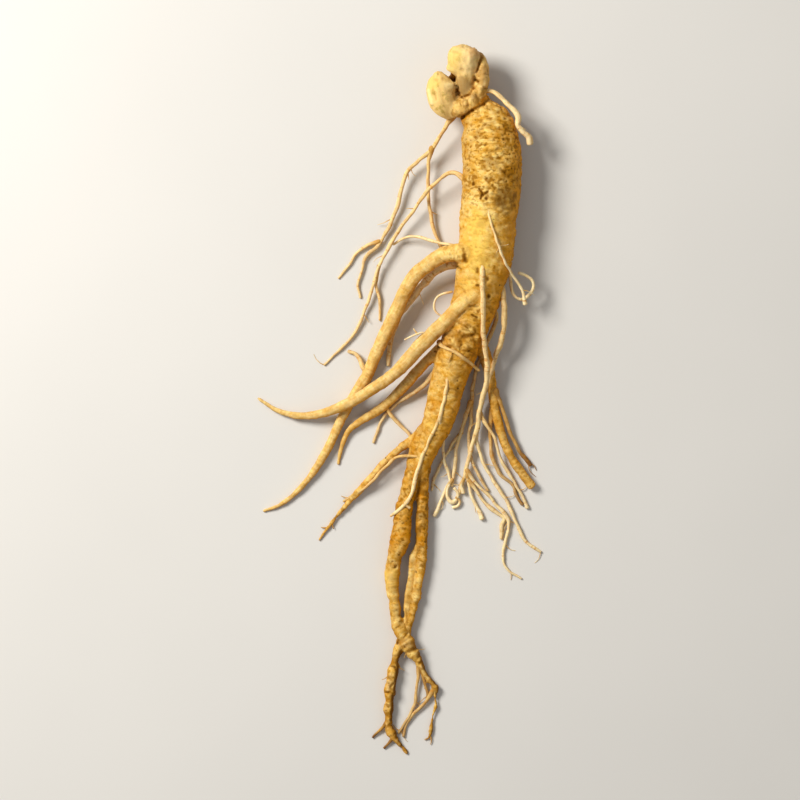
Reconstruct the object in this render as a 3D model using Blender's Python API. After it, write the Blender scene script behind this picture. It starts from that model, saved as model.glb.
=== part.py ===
"""A fresh ginseng root, lying on its side on a surface.

Frame: +Y runs from the tail to the head, +X to the right seen from above, +Z up. The origin is
under the middle of the root's box, on the surface that it lies on. Routes are in millimetres:
each point is (x, y, z, radius), from the base of a root to its tip.
"""

import math
import random

import bmesh
import bpy
from mathutils import Vector, noise

MM = 0.001
NAME = "ginseng_root"

# Driving sizes, in millimetres.
BODY_STATION_GAP = 3.2
HEAD_STATION_GAP = 2.2
LEG_STATION_GAP = 4.5
FINE_STATION_GAP = 5.0
DOME_LENGTH = 0.7
DOME_WIDTH = 0.55
WELD = 0.00001
FLAT_CUT_HEIGHT = 6.0
FLAT_CUT_SPAN = 320.0

# Sides of the round sections.
BODY_SIDES = 20
HEAD_SIDES = 12
LEG_SIDES = 8
FINE_SIDES = 6

# Relief of the skin: broad lumps and rings round the body, each a share of the radius.
RING_DEPTH = 0.022
RING_LENGTH = 7.5
RING_DRIFT = 3.0
LUMP_DEPTH = 0.035
HEAD_LUMP_DEPTH = 0.10
LUMP_LENGTH = 9.0
LEG_KNOT_DEPTH = 0.10
LEG_KNOT_LENGTH = 4.0

# The sideways waver of a rootlet, a share of its radius.
WAVER_REACH = 0.3
WAVER_SEED = 11

SKIN_COLOUR = (0.73, 0.49, 0.16, 1.0)
SKIN_ROUGHNESS = 0.62

# The main root, from under the head to where it parts into the two tail legs.
MAIN_ROOT = [
    (33.0, 118.0, 11.0, 3.2),
    (33.8, 114.8, 11.0, 7.0),
    (34.9, 110.6, 10.9, 9.7),
    (35.8, 104.0, 10.8, 11.4),
    (36.5, 90.0, 10.9, 11.7),
    (35.9, 79.0, 10.8, 11.6),
    (34.9, 69.0, 10.7, 11.4),
    (34.3, 61.0, 10.6, 11.3),
    (33.0, 52.6, 10.7, 10.8),
    (31.0, 43.4, 10.3, 9.9),
    (28.2, 34.0, 9.8, 9.1),
    (24.7, 24.7, 9.0, 8.2),
    (21.4, 15.3, 8.3, 7.5),
    (19.0, 6.8, 7.8, 7.1),
    (16.8, -2.5, 7.3, 6.7),
    (15.0, -8.5, 6.8, 6.2),
    (12.3, -15.3, 6.0, 5.3),
    (10.0, -21.0, 5.2, 4.6),
    (7.6, -27.0, 4.4, 3.8),
]

# The head: the neck, a cup-shaped crown, two buds with a corner each, and the nodular collar on
# the cup's rim.
HEAD = {
    "neck": [
        (34.0, 106.5, 10.6, 8.2),
        (31.4, 112.5, 10.0, 7.6),
        (29.0, 117.5, 8.2, 6.4),
        (27.0, 122.0, 6.8, 5.2),
    ],
    "crown": [
        (26.0, 124.6, 1.8, 3.8),
        (26.0, 124.4, 4.0, 7.0),
        (26.2, 124.0, 6.4, 8.4),
        (26.4, 123.8, 8.8, 8.4),
    ],
    "top_bud": [
        (25.4, 119.6, 10.8, 2.8),
        (25.6, 122.6, 12.8, 3.3),
        (25.9, 126.0, 13.9, 3.5),
        (26.2, 129.0, 14.3, 4.0),
        (25.6, 131.6, 14.5, 5.1),
        (24.9, 134.0, 14.5, 6.1),
        (25.1, 136.6, 14.4, 6.2),
        (25.5, 138.6, 14.3, 4.9),
        (25.8, 139.6, 14.2, 2.8),
    ],
    "bud_lobe": [
        (26.0, 133.0, 14.2, 3.4),
        (22.8, 131.9, 14.9, 3.9),
        (20.3, 131.5, 15.1, 2.7),
        (18.9, 131.2, 15.0, 1.3),
    ],
    "left_bud": [
        (15.2, 129.0, 12.4, 2.0),
        (15.4, 127.4, 12.6, 4.0),
        (15.7, 124.6, 12.7, 5.3),
        (15.9, 121.4, 12.7, 5.6),
        (17.0, 118.0, 12.6, 5.5),
        (18.7, 114.8, 12.2, 4.3),
        (20.0, 112.6, 11.6, 2.4),
    ],
    "left_bud_corner": [
        (16.4, 123.6, 14.0, 4.0),
        (19.4, 124.2, 15.0, 2.7),
        (21.4, 124.4, 15.2, 1.3),
    ],
    "collar": [
        (31.6, 137.2, 13.0, 1.0),
        (32.2, 134.6, 13.8, 1.9),
        (32.4, 131.0, 14.4, 2.7),
        (32.4, 126.4, 14.6, 3.1),
        (31.2, 122.2, 14.4, 3.4),
        (28.4, 118.4, 14.2, 3.7),
        (25.0, 116.0, 13.8, 3.8),
        (21.6, 114.8, 13.2, 3.4),
    ],
}

# The two legs of the tail, which cross and are grown together, the strand beside the right one,
# and the thick side roots.
LEGS = {
    "tail_leg_right": [
        (12.4, -11.0, 6.4, 3.4),
        (10.2, -21.0, 4.8, 3.2),
        (9.4, -29.4, 4.0, 2.6),
        (9.2, -36.0, 3.4, 2.5),
        (8.9, -44.0, 3.2, 2.6),
        (8.8, -52.0, 3.1, 2.6),
        (8.5, -59.0, 3.1, 2.55),
        (8.4, -65.0, 3.0, 2.15),
        (7.4, -72.0, 2.9, 1.95),
        (6.2, -79.0, 2.8, 1.85),
        (4.4, -86.4, 2.8, 1.75),
        (1.8, -93.4, 2.9, 1.9),
        (-0.4, -98.4, 2.8, 1.9),
        (-1.8, -102.4, 2.7, 1.95),
        (-2.6, -106.6, 2.6, 2.15),
        (-3.2, -110.6, 2.5, 2.1),
        (-3.8, -114.4, 2.3, 2.2),
        (-4.5, -119.2, 2.0, 1.7),
        (-4.9, -124.4, 1.8, 1.5),
        (-4.8, -129.2, 1.7, 1.6),
        (-2.6, -133.8, 1.4, 1.2),
        (0.6, -137.6, 0.9, 0.9),
        (2.9, -140.4, 0.4, 0.6),
    ],
    "tail_leg_left": [
        (9.6, -12.5, 6.0, 3.6),
        (5.8, -24.2, 4.6, 3.2),
        (4.4, -30.6, 4.2, 3.2),
        (2.6, -38.7, 4.2, 3.3),
        (1.2, -46.4, 4.4, 3.5),
        (0.5, -52.0, 4.5, 3.85),
        (-0.1, -56.4, 4.4, 3.9),
        (-1.6, -60.4, 4.1, 3.4),
        (-2.6, -64.0, 3.8, 3.05),
        (-3.1, -70.0, 3.5, 2.95),
        (-2.9, -76.0, 3.4, 2.6),
        (-2.1, -82.0, 3.3, 2.3),
        (-1.3, -88.0, 3.4, 2.3),
        (0.5, -92.6, 3.6, 2.5),
        (2.7, -96.2, 3.5, 2.9),
        (4.6, -100.0, 3.1, 2.3),
        (6.8, -102.8, 2.7, 1.9),
        (8.6, -106.2, 2.3, 1.5),
        (11.0, -110.4, 1.9, 1.35),
        (13.6, -114.2, 1.8, 1.65),
        (14.0, -117.4, 1.4, 0.95),
        (14.2, -121.2, 1.2, 0.75),
        (13.2, -125.0, 1.0, 0.75),
        (12.5, -128.8, 0.9, 0.7),
        (12.1, -132.0, 0.8, 0.85),
        (11.4, -134.2, 0.7, 0.8),
        (9.8, -135.0, 0.4, 0.55),
    ],
    "tail_strand": [
        (7.6, -57.4, 3.3, 1.6),
        (5.2, -62.4, 3.0, 1.55),
        (4.6, -68.0, 2.8, 1.2),
        (3.5, -74.4, 2.7, 1.25),
        (2.6, -80.6, 2.8, 1.3),
        (2.6, -86.0, 3.0, 1.1),
        (2.4, -91.0, 3.0, 0.9),
    ],
    "left_root_upper": [
        (29.0, 57.4, 15.6, 3.6),
        (25.6, 57.8, 16.6, 3.8),
        (21.4, 58.2, 15.8, 3.6),
        (16.6, 57.2, 14.4, 3.3),
        (11.4, 53.9, 12.4, 3.1),
        (6.0, 49.1, 10.2, 3.0),
        (1.9, 42.6, 8.4, 2.95),
        (-1.0, 36.2, 6.8, 2.85),
        (-3.8, 30.2, 5.5, 2.8),
        (-6.8, 24.0, 4.5, 2.7),
        (-10.0, 17.0, 3.6, 2.6),
        (-12.8, 10.4, 3.0, 2.45),
        (-16.1, 4.8, 2.7, 2.3),
        (-20.0, -1.2, 2.4, 2.15),
        (-24.2, -9.6, 2.2, 1.95),
        (-28.8, -19.4, 2.0, 1.7),
        (-34.4, -28.6, 1.6, 1.4),
        (-41.0, -36.4, 1.2, 1.1),
        (-48.0, -41.8, 0.8, 0.85),
        (-54.0, -44.0, 0.4, 0.65),
    ],
    "left_root_lower": [
        (33.4, 44.6, 14.4, 3.4),
        (30.2, 42.2, 17.0, 3.5),
        (26.8, 39.4, 17.6, 3.4),
        (22.8, 35.8, 16.8, 3.2),
        (17.4, 30.4, 15.4, 3.0),
        (10.4, 23.8, 13.6, 2.9),
        (4.8, 17.9, 12.0, 2.85),
        (-0.4, 12.2, 10.6, 2.75),
        (-5.4, 8.0, 9.6, 2.6),
        (-10.4, 4.6, 8.7, 2.45),
        (-15.4, 1.5, 7.9, 2.3),
        (-20.2, -1.2, 6.9, 2.2),
        (-26.2, -3.8, 5.6, 2.0),
        (-33.0, -5.8, 4.0, 1.75),
        (-41.0, -6.2, 2.4, 1.4),
        (-49.0, -4.0, 1.2, 1.05),
        (-56.2, 0.6, 0.45, 0.7),
    ],
    "right_leg_broken": [
        (27.6, 27.0, 6.8, 3.4),
        (32.6, 20.0, 5.6, 2.7),
        (35.8, 9.8, 4.4, 2.1),
        (37.4, -1.5, 3.6, 1.85),
        (40.0, -12.6, 3.0, 1.8),
        (44.0, -22.6, 2.6, 1.75),
        (48.6, -29.4, 2.3, 1.8),
        (52.6, -34.4, 1.9, 1.8),
    ],
    "left_root_third": [
        (20.4, 24.0, 7.4, 2.6),
        (14.4, 19.0, 6.8, 2.3),
        (8.4, 13.0, 5.4, 2.1),
        (3.2, 7.2, 4.2, 2.05),
        (-1.4, 2.4, 3.4, 1.95),
        (-6.0, -2.2, 2.8, 1.9),
        (-11.0, -5.6, 2.3, 1.75),
        (-16.0, -8.6, 1.9, 1.5),
        (-20.6, -12.4, 1.4, 1.2),
        (-23.2, -18.6, 0.9, 0.95),
        (-24.6, -25.4, 0.4, 0.65),
    ],
    "tail_branch": [
        (10.6, -11.0, 5.4, 3.0),
        (6.4, -14.8, 4.6, 2.2),
        (1.4, -18.2, 3.6, 1.7),
        (-4.6, -23.4, 2.9, 1.5),
        (-9.6, -28.6, 2.4, 1.4),
        (-15.4, -35.2, 1.9, 1.25),
        (-20.8, -41.0, 1.4, 1.05),
        (-26.4, -47.8, 1.0, 0.85),
        (-32.0, -55.4, 0.4, 0.65),
    ],
}

# Rootlets, down to about 1 mm thick.
ROOTLETS = {
    "top_rootlet": [
        (32.4, 55.6, 19.2, 1.3),
        (32.5, 51.6, 20.8, 1.1),
        (32.6, 43.0, 20.4, 1.1),
        (32.7, 34.0, 18.2, 1.05),
        (33.0, 24.8, 15.0, 1.0),
        (34.1, 17.4, 12.4, 1.0),
        (34.6, 10.6, 10.2, 1.0),
        (33.6, 4.0, 8.2, 0.95),
        (31.6, -3.4, 6.4, 0.95),
        (30.6, -11.0, 4.8, 0.95),
        (28.6, -18.6, 3.4, 0.9),
        (26.8, -26.0, 2.5, 0.85),
        (25.6, -31.0, 2.0, 0.8),
        (24.2, -34.6, 1.5, 0.75),
        (23.0, -38.0, 0.75, 0.65),
    ],
    "right_rootlet": [
        (36.6, 48.6, 11.4, 2.2),
        (39.8, 44.4, 12.4, 1.5),
        (41.0, 40.0, 12.8, 1.2),
        (41.4, 34.6, 12.6, 1.15),
        (41.3, 29.4, 11.8, 1.1),
        (40.5, 24.8, 10.6, 1.05),
        (38.6, 19.4, 8.6, 1.0),
        (37.0, 13.4, 6.4, 0.95),
        (34.6, 6.0, 5.2, 0.9),
        (32.2, -1.4, 4.0, 0.85),
        (31.0, -9.4, 3.1, 0.8),
        (30.4, -15.4, 2.6, 0.75),
        (31.4, -20.4, 2.2, 0.7),
        (33.2, -25.4, 1.8, 0.65),
        (36.4, -30.8, 1.5, 0.65),
        (39.6, -35.8, 1.3, 0.7),
        (42.6, -40.8, 1.1, 0.7),
        (46.4, -49.4, 0.9, 0.75),
        (50.4, -56.6, 0.7, 0.65),
        (56.0, -60.4, 0.35, 0.5),
    ],
    "right_rootlet_inner": [
        (33.6, 39.6, 7.8, 1.7),
        (38.0, 33.6, 6.6, 1.0),
        (36.2, 27.0, 5.0, 0.9),
        (33.4, 20.2, 3.6, 0.85),
        (31.0, 14.4, 2.9, 0.8),
        (29.4, 8.0, 2.4, 0.8),
        (28.6, 0.0, 2.0, 0.75),
        (28.2, -8.0, 1.8, 0.75),
        (27.2, -15.0, 1.7, 0.7),
        (27.8, -21.6, 1.6, 0.7),
        (29.6, -26.4, 1.4, 0.65),
        (32.2, -31.4, 1.1, 0.65),
        (35.0, -36.2, 0.7, 0.6),
    ],
    "fan_middle": [
        (28.0, -1.0, 3.4, 1.2),
        (26.2, -6.4, 2.8, 0.8),
        (24.4, -12.6, 2.1, 0.75),
        (22.4, -18.8, 1.5, 0.7),
        (21.8, -24.6, 1.1, 0.7),
        (21.2, -30.0, 0.9, 0.7),
        (20.5, -34.0, 0.6, 0.65),
    ],
    "fan_left": [
        (24.4, -13.0, 1.9, 0.9),
        (20.6, -17.6, 1.4, 0.65),
        (18.4, -21.6, 1.1, 0.6),
        (15.4, -27.0, 0.9, 0.55),
        (13.6, -31.6, 0.7, 0.55),
        (12.6, -36.0, 0.4, 0.5),
    ],
    "fan_long": [
        (26.6, -28.0, 2.6, 1.0),
        (29.4, -32.0, 2.1, 0.65),
        (33.6, -36.2, 1.7, 0.6),
        (38.4, -41.6, 1.4, 0.6),
        (42.8, -47.2, 1.2, 0.9),
        (43.2, -51.0, 1.0, 0.65),
        (41.8, -56.2, 0.8, 0.6),
        (40.8, -61.6, 0.7, 0.6),
        (42.0, -66.6, 0.6, 0.5),
        (48.2, -70.8, 0.35, 0.45),
    ],
    "fan_outer": [
        (27.4, -32.0, 1.9, 0.9),
        (30.8, -36.6, 1.5, 0.6),
        (33.8, -40.8, 1.2, 0.65),
        (36.6, -43.4, 1.0, 0.8),
        (41.4, -47.0, 0.9, 0.65),
        (40.6, -49.8, 0.8, 0.85),
        (40.3, -55.4, 0.5, 0.7),
    ],
    "fan_stub": [
        (26.6, -29.6, 2.3, 1.0),
        (27.4, -33.6, 1.7, 0.65),
        (28.4, -38.6, 1.3, 0.65),
        (30.8, -42.6, 1.0, 0.7),
        (32.6, -47.0, 0.8, 1.0),
    ],
    "fan_white_tip": [
        (20.6, -31.8, 1.5, 0.8),
        (18.6, -35.0, 1.2, 0.6),
        (16.8, -39.4, 1.0, 0.6),
        (13.8, -46.2, 0.7, 0.85),
    ],
    "fan_knob": [
        (25.4, -31.2, 2.2, 0.7),
        (24.3, -34.2, 1.9, 0.7),
        (25.0, -36.8, 1.5, 0.9),
    ],
    "surface_rootlet": [
        (18.7, 11.4, 13.6, 0.6),
        (18.6, 6.9, 14.6, 0.65),
        (18.2, 2.4, 14.2, 0.7),
        (16.9, -2.7, 13.9, 0.7),
        (15.8, -7.2, 13.3, 0.75),
        (16.2, -11.6, 10.2, 0.7),
        (16.8, -16.0, 7.0, 0.7),
        (17.0, -19.6, 4.8, 0.65),
        (17.8, -24.7, 2.8, 0.65),
        (19.6, -29.9, 1.7, 0.65),
        (19.8, -32.6, 1.5, 0.65),
        (18.8, -35.6, 1.4, 0.65),
        (18.9, -38.6, 1.3, 0.7),
        (20.6, -40.7, 1.1, 0.9),
        (22.4, -39.2, 1.3, 0.65),
        (22.8, -36.8, 1.6, 0.6),
        (21.4, -35.2, 1.9, 0.6),
    ],
    "leg_companion": [
        (37.6, 3.6, 4.4, 1.6),
        (40.0, -2.4, 3.4, 0.95),
        (42.2, -8.4, 2.7, 0.85),
        (44.8, -15.4, 2.0, 0.8),
        (47.4, -20.2, 1.6, 0.75),
        (51.8, -25.8, 0.8, 0.9),
    ],
    "leg_rootlet": [
        (31.4, -4.4, 4.4, 1.1),
        (34.2, -9.6, 4.8, 0.65),
        (37.4, -14.4, 4.8, 0.6),
        (38.8, -19.4, 3.6, 0.6),
        (40.4, -24.6, 2.2, 0.65),
        (43.6, -29.8, 1.4, 0.65),
        (48.8, -38.6, 0.9, 0.65),
        (50.6, -42.8, 0.6, 0.8),
    ],
    "leg_rootlet_brown": [
        (36.6, -3.6, 2.8, 1.2),
        (35.8, -10.6, 2.2, 0.8),
        (36.2, -17.6, 1.7, 0.75),
        (37.4, -24.8, 1.3, 0.75),
        (40.2, -29.6, 1.0, 0.7),
        (44.6, -33.4, 0.8, 0.65),
        (46.2, -37.6, 0.6, 0.6),
        (48.6, -41.6, 0.4, 0.55),
    ],
    "head_stub": [
        (31.6, 122.6, 12.6, 1.4),
        (36.4, 121.9, 14.2, 0.8),
        (39.8, 119.8, 14.8, 0.95),
        (42.4, 117.2, 15.2, 1.1),
        (44.9, 114.5, 15.4, 1.2),
        (46.7, 111.4, 15.6, 1.25),
        (46.4, 108.4, 15.6, 1.15),
        (48.4, 106.0, 15.2, 1.2),
        (50.9, 104.0, 14.4, 1.35),
        (51.5, 101.4, 13.4, 1.4),
    ],
    "head_rootlet": [
        (20.8, 112.4, 9.8, 1.5),
        (17.6, 107.8, 8.6, 0.9),
        (14.6, 102.8, 7.2, 0.85),
        (11.4, 98.2, 6.2, 0.9),
        (7.4, 95.2, 5.2, 0.8),
        (3.4, 91.2, 4.4, 0.8),
        (1.2, 86.2, 3.6, 0.8),
        (0.0, 80.6, 3.0, 0.8),
        (-2.2, 73.6, 2.4, 0.8),
        (-5.6, 66.4, 1.9, 0.75),
        (-9.6, 60.4, 1.6, 0.7),
        (-13.4, 57.0, 1.3, 0.65),
        (-14.8, 52.0, 1.1, 0.6),
        (-16.6, 45.4, 0.9, 0.55),
        (-15.6, 40.6, 0.4, 0.5),
    ],
    "head_rootlet_long": [
        (12.6, 99.8, 6.6, 1.1),
        (11.4, 95.0, 5.2, 0.8),
        (11.0, 87.0, 3.8, 0.75),
        (11.4, 79.0, 2.9, 0.75),
        (12.6, 71.0, 2.3, 0.75),
        (14.4, 65.0, 1.9, 0.7),
        (19.0, 56.0, 1.1, 0.6),
    ],
    "head_rootlet_fork": [
        (-8.4, 63.0, 1.9, 0.8),
        (-12.8, 61.6, 1.4, 0.65),
        (-17.0, 58.6, 1.0, 0.6),
        (-20.6, 53.4, 0.8, 0.55),
        (-24.6, 48.4, 0.3, 0.45),
    ],
    "side_rootlet": [
        (28.6, 84.0, 10.4, 1.9),
        (22.8, 89.6, 10.4, 1.0),
        (18.6, 89.4, 9.6, 0.8),
        (11.0, 82.8, 7.4, 0.75),
        (5.8, 75.6, 5.6, 0.75),
        (-0.2, 67.6, 4.4, 0.75),
        (-4.6, 60.4, 3.8, 0.75),
        (-8.8, 52.0, 3.4, 0.7),
        (-11.4, 43.0, 2.6, 0.7),
        (-14.0, 35.2, 1.8, 0.65),
        (-18.0, 26.8, 1.2, 0.6),
        (-23.6, 20.4, 0.8, 0.55),
        (-30.0, 14.0, 0.35, 0.45),
    ],
    "side_rootlet_fork": [
        (-8.4, 53.2, 3.2, 0.8),
        (-9.6, 46.4, 2.0, 0.65),
        (-8.2, 39.6, 1.2, 0.55),
        (-7.8, 31.6, 0.5, 0.45),
    ],
    "pale_side_rootlet": [
        (24.6, 60.4, 9.6, 1.1),
        (19.4, 61.4, 9.2, 0.7),
        (14.4, 62.7, 8.2, 0.6),
        (9.6, 64.2, 6.6, 0.6),
        (5.4, 65.0, 5.0, 0.6),
        (1.0, 64.0, 3.4, 0.55),
        (-2.6, 61.8, 2.2, 0.5),
    ],
    "curled_rootlet": [
        (34.2, 78.0, 20.8, 0.5),
        (34.8, 74.6, 21.7, 0.5),
        (35.8, 69.6, 22.2, 0.5),
        (38.4, 62.4, 21.6, 0.5),
        (41.4, 54.6, 19.0, 0.55),
        (44.6, 49.4, 15.0, 0.55),
        (47.4, 45.4, 13.2, 0.6),
        (48.8, 41.4, 12.0, 0.7),
        (49.4, 38.0, 11.0, 0.95),
    ],
    "hooked_rootlet": [
        (40.0, 53.0, 8.4, 1.6),
        (43.2, 49.6, 9.0, 0.75),
        (44.2, 44.8, 9.4, 0.65),
        (45.4, 41.2, 9.2, 0.65),
        (48.0, 39.8, 8.6, 0.65),
        (51.0, 41.6, 8.4, 0.65),
        (52.7, 44.6, 8.6, 0.65),
        (51.8, 48.0, 9.2, 0.6),
        (47.2, 50.2, 10.2, 0.55),
    ],
    "crossing_rootlet": [
        (15.6, 22.8, 11.0, 1.2),
        (16.6, 21.3, 14.0, 0.75),
        (20.2, 19.6, 16.5, 0.7),
        (24.4, 17.0, 16.8, 0.65),
        (28.4, 14.2, 14.0, 0.6),
        (31.4, 11.8, 11.4, 0.55),
    ],
    "under_rootlet": [
        (24.4, 55.0, 8.2, 2.2),
        (15.0, 51.6, 7.2, 1.6),
        (9.8, 46.4, 5.6, 1.6),
        (5.2, 41.0, 4.2, 1.5),
        (1.4, 35.8, 3.0, 1.35),
        (-1.8, 29.6, 2.1, 1.15),
        (-4.0, 21.6, 1.3, 0.95),
        (-4.8, 13.6, 0.6, 0.7),
    ],
    "pale_rootlet": [
        (18.6, 14.0, 6.0, 1.6),
        (14.0, 11.6, 5.2, 0.95),
        (10.4, 6.8, 3.8, 0.85),
        (4.4, 2.2, 2.6, 0.8),
        (-1.2, -1.4, 1.8, 0.75),
        (-6.6, -7.2, 1.1, 0.65),
        (-10.6, -17.0, 0.4, 0.5),
    ],
    "third_rootlet": [
        (-5.4, -2.6, 2.6, 1.0),
        (-3.8, -6.0, 2.2, 0.75),
        (-0.4, -9.4, 1.6, 0.7),
        (3.4, -13.2, 1.2, 0.65),
        (6.2, -18.4, 0.4, 0.55),
    ],
    "upper_hook": [
        (-12.4, 10.4, 3.4, 1.3),
        (-14.8, 13.4, 3.2, 0.95),
        (-16.0, 16.2, 2.4, 0.85),
        (-17.8, 18.4, 1.6, 0.75),
        (-20.4, 19.4, 0.6, 0.65),
    ],
    "tail_pale_rootlet": [
        (9.8, -24.6, 6.6, 1.2),
        (7.4, -22.6, 7.8, 0.65),
        (2.8, -22.0, 7.4, 0.6),
        (-1.2, -22.8, 6.4, 0.6),
        (-4.8, -25.6, 5.4, 0.6),
        (-12.6, -33.8, 3.6, 0.6),
        (-17.4, -37.4, 2.4, 0.55),
        (-22.6, -40.2, 0.9, 0.5),
    ],
    "tail_crescent": [
        (15.9, -6.0, 13.2, 0.7),
        (13.8, -11.4, 12.3, 0.65),
        (11.7, -15.6, 11.3, 0.65),
        (10.0, -19.6, 10.0, 0.65),
        (8.7, -22.6, 9.2, 0.7),
        (7.2, -27.0, 8.2, 0.75),
        (6.1, -31.5, 7.2, 0.8),
        (5.2, -35.8, 7.0, 0.75),
        (3.2, -40.0, 7.5, 0.75),
        (0.4, -43.0, 7.5, 0.7),
        (-3.6, -46.2, 5.4, 0.55),
    ],
    "tail_twig_long": [
        (7.4, -105.0, 2.3, 1.0),
        (7.2, -111.0, 1.7, 0.6),
        (6.5, -117.0, 1.3, 0.6),
        (5.4, -122.4, 1.1, 0.6),
        (2.9, -127.2, 0.9, 0.6),
        (-0.6, -132.4, 0.4, 0.55),
    ],
    "tail_twig_middle": [
        (13.6, -114.6, 1.7, 1.1),
        (10.8, -119.2, 1.3, 0.65),
        (8.2, -122.2, 1.0, 0.65),
        (5.4, -124.9, 0.9, 0.65),
        (3.2, -128.0, 0.7, 0.6),
        (1.2, -133.6, 0.4, 0.55),
    ],
    "tail_twig_inner": [
        (8.4, -106.8, 2.1, 0.9),
        (10.0, -112.0, 1.5, 0.6),
        (11.0, -117.0, 1.2, 0.6),
        (10.6, -119.2, 0.9, 0.55),
    ],
    "tail_twig_left": [
        (-4.8, -127.4, 1.7, 1.0),
        (-7.0, -130.4, 1.2, 0.6),
        (-10.6, -134.2, 0.4, 0.45),
    ],
    "tail_twig_end": [
        (-2.6, -133.8, 1.4, 0.9),
        (-4.6, -136.6, 0.9, 0.5),
        (-6.2, -138.4, 0.4, 0.45),
    ],
}


def clear_scene():
    for obj in list(bpy.data.objects):
        bpy.data.objects.remove(obj, do_unlink=True)


def new_collection(name):
    collection = bpy.data.collections.new(name)
    bpy.context.scene.collection.children.link(collection)
    return collection


def hermite(a, b, slope_a, slope_b, t):
    """The cubic from a to b with these slopes, at t from 0 to 1."""
    return (
        a * (2 * t**3 - 3 * t**2 + 1)
        + slope_a * (t**3 - 2 * t**2 + t)
        + b * (3 * t**2 - 2 * t**3)
        + slope_b * (t**3 - t**2)
    )


def smooth_route(route, gap):
    """Points about `gap` apart on a smooth curve through the route, each (x, y, z, radius)."""
    points = [Vector(point) for point in route]
    spans = [(b.xyz - a.xyz).length for a, b in zip(points, points[1:])]
    slopes = []
    for i in range(len(points)):
        before = max(i - 1, 0)
        after = min(i + 1, len(points) - 1)
        slopes.append((points[after] - points[before]) / sum(spans[before:after]))
    smooth = []
    for i, span in enumerate(spans):
        steps = max(1, round(span / gap))
        for step in range(steps):
            smooth.append(
                hermite(
                    points[i],
                    points[i + 1],
                    slopes[i] * span,
                    slopes[i + 1] * span,
                    step / steps,
                )
            )
    smooth.append(points[-1])
    return smooth


def round_off(points):
    """Adds a narrow station past the tip, so that it ends in a dome."""
    tip = points[-1]
    ahead = (tip.xyz - points[-2].xyz).normalized()
    place = tip.xyz + ahead * tip.w * DOME_LENGTH
    return points + [Vector((*place, tip.w * DOME_WIDTH))]


def tube(name, points, sides, collection):
    """A closed mesh tube through the points, each as thick as its radius says.

    A bevelled curve has four sides, and two more for each step of its resolution.
    """
    curve = bpy.data.curves.new(name, "CURVE")
    curve.dimensions = "3D"
    curve.bevel_depth = MM
    curve.bevel_resolution = (sides - 4) // 2
    curve.use_fill_caps = True
    spline = curve.splines.new("POLY")
    spline.points.add(len(points) - 1)
    for target, point in zip(spline.points, points):
        target.co = (*(point.xyz * MM), 1.0)
        target.radius = point.w
    holder = bpy.data.objects.new(name + "_curve", curve)
    collection.objects.link(holder)
    graph = bpy.context.evaluated_depsgraph_get()
    mesh = bpy.data.meshes.new_from_object(holder.evaluated_get(graph))
    solid = bpy.data.objects.new(name, mesh)
    solid.matrix_world = holder.matrix_world
    collection.objects.link(solid)
    bpy.data.objects.remove(holder)
    return solid


def weld_and_triangulate(mesh):
    shape = bmesh.new()
    shape.from_mesh(mesh)
    bmesh.ops.remove_doubles(shape, verts=shape.verts, dist=WELD)
    bmesh.ops.triangulate(shape, faces=shape.faces)
    bmesh.ops.recalc_face_normals(shape, faces=shape.faces)
    shape.to_mesh(mesh)
    shape.free()


def ring_relief(points):
    """Uneven rings round a thick root: its radius swells and narrows along it."""
    travelled = 0.0
    ringed = []
    for i, point in enumerate(points):
        if i:
            travelled += (point.xyz - points[i - 1].xyz).length
        turn = 2 * math.pi * travelled / RING_LENGTH
        drift = noise.noise(Vector((travelled / RING_LENGTH, 0.0, 0.0)))
        swell = 1 + RING_DEPTH * math.sin(turn + RING_DRIFT * drift)
        ringed.append(Vector((*point.xyz, point.w * swell)))
    return ringed


def knot_relief(points, seed):
    """Knots along a tail leg, more of them towards its tip."""
    travelled = 0.0
    knotted = []
    for i, point in enumerate(points):
        if i:
            travelled += (point.xyz - points[i - 1].xyz).length
        knot = noise.noise(Vector((travelled / LEG_KNOT_LENGTH, seed, 0.0)))
        depth = LEG_KNOT_DEPTH * i / len(points)
        knotted.append(Vector((*point.xyz, point.w * (1 + depth * knot))))
    return knotted


def lump(solid, depth):
    """Low broad lumps all over a thick root, pushed out along its own skin."""
    mesh = solid.data
    mesh.update()
    normals = [vertex.normal.copy() for vertex in mesh.vertices]
    for vertex, normal in zip(mesh.vertices, normals):
        place = vertex.co / (LUMP_LENGTH * MM)
        vertex.co += normal * noise.noise(place) * depth * MM


def body_root(collection):
    points = ring_relief(smooth_route(MAIN_ROOT, BODY_STATION_GAP))
    solid = tube(NAME, points, BODY_SIDES, collection)
    weld_and_triangulate(solid.data)
    lump(solid, LUMP_DEPTH * max(point[3] for point in MAIN_ROOT))
    return solid


def head_pieces(collection):
    for name, route in HEAD.items():
        points = smooth_route(route, HEAD_STATION_GAP)
        solid = tube(name, points, HEAD_SIDES, collection)
        weld_and_triangulate(solid.data)
        lump(solid, HEAD_LUMP_DEPTH * max(point[3] for point in route))


def leg_pieces(collection):
    for seed, (name, route) in enumerate(LEGS.items()):
        points = smooth_route(route, LEG_STATION_GAP)
        if name.startswith("tail"):
            points = knot_relief(points, seed)
        if not name.endswith("broken"):
            points = round_off(points)
        solid = tube(name, points, LEG_SIDES, collection)
        weld_and_triangulate(solid.data)


def waver(points, draw):
    """A slight seeded waver sideways in a rootlet, none at its base."""
    wavered = points[:1]
    for point in points[1:]:
        reach = WAVER_REACH * point.w
        aside = Vector((draw.uniform(-reach, reach), draw.uniform(-reach, reach), 0, 0))
        wavered.append(point + aside)
    return wavered


def rootlet_pieces(collection):
    draw = random.Random(WAVER_SEED)
    for name, route in ROOTLETS.items():
        points = round_off(waver(smooth_route(route, FINE_STATION_GAP), draw))
        solid = tube(name, points, FINE_SIDES, collection)
        weld_and_triangulate(solid.data)


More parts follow.
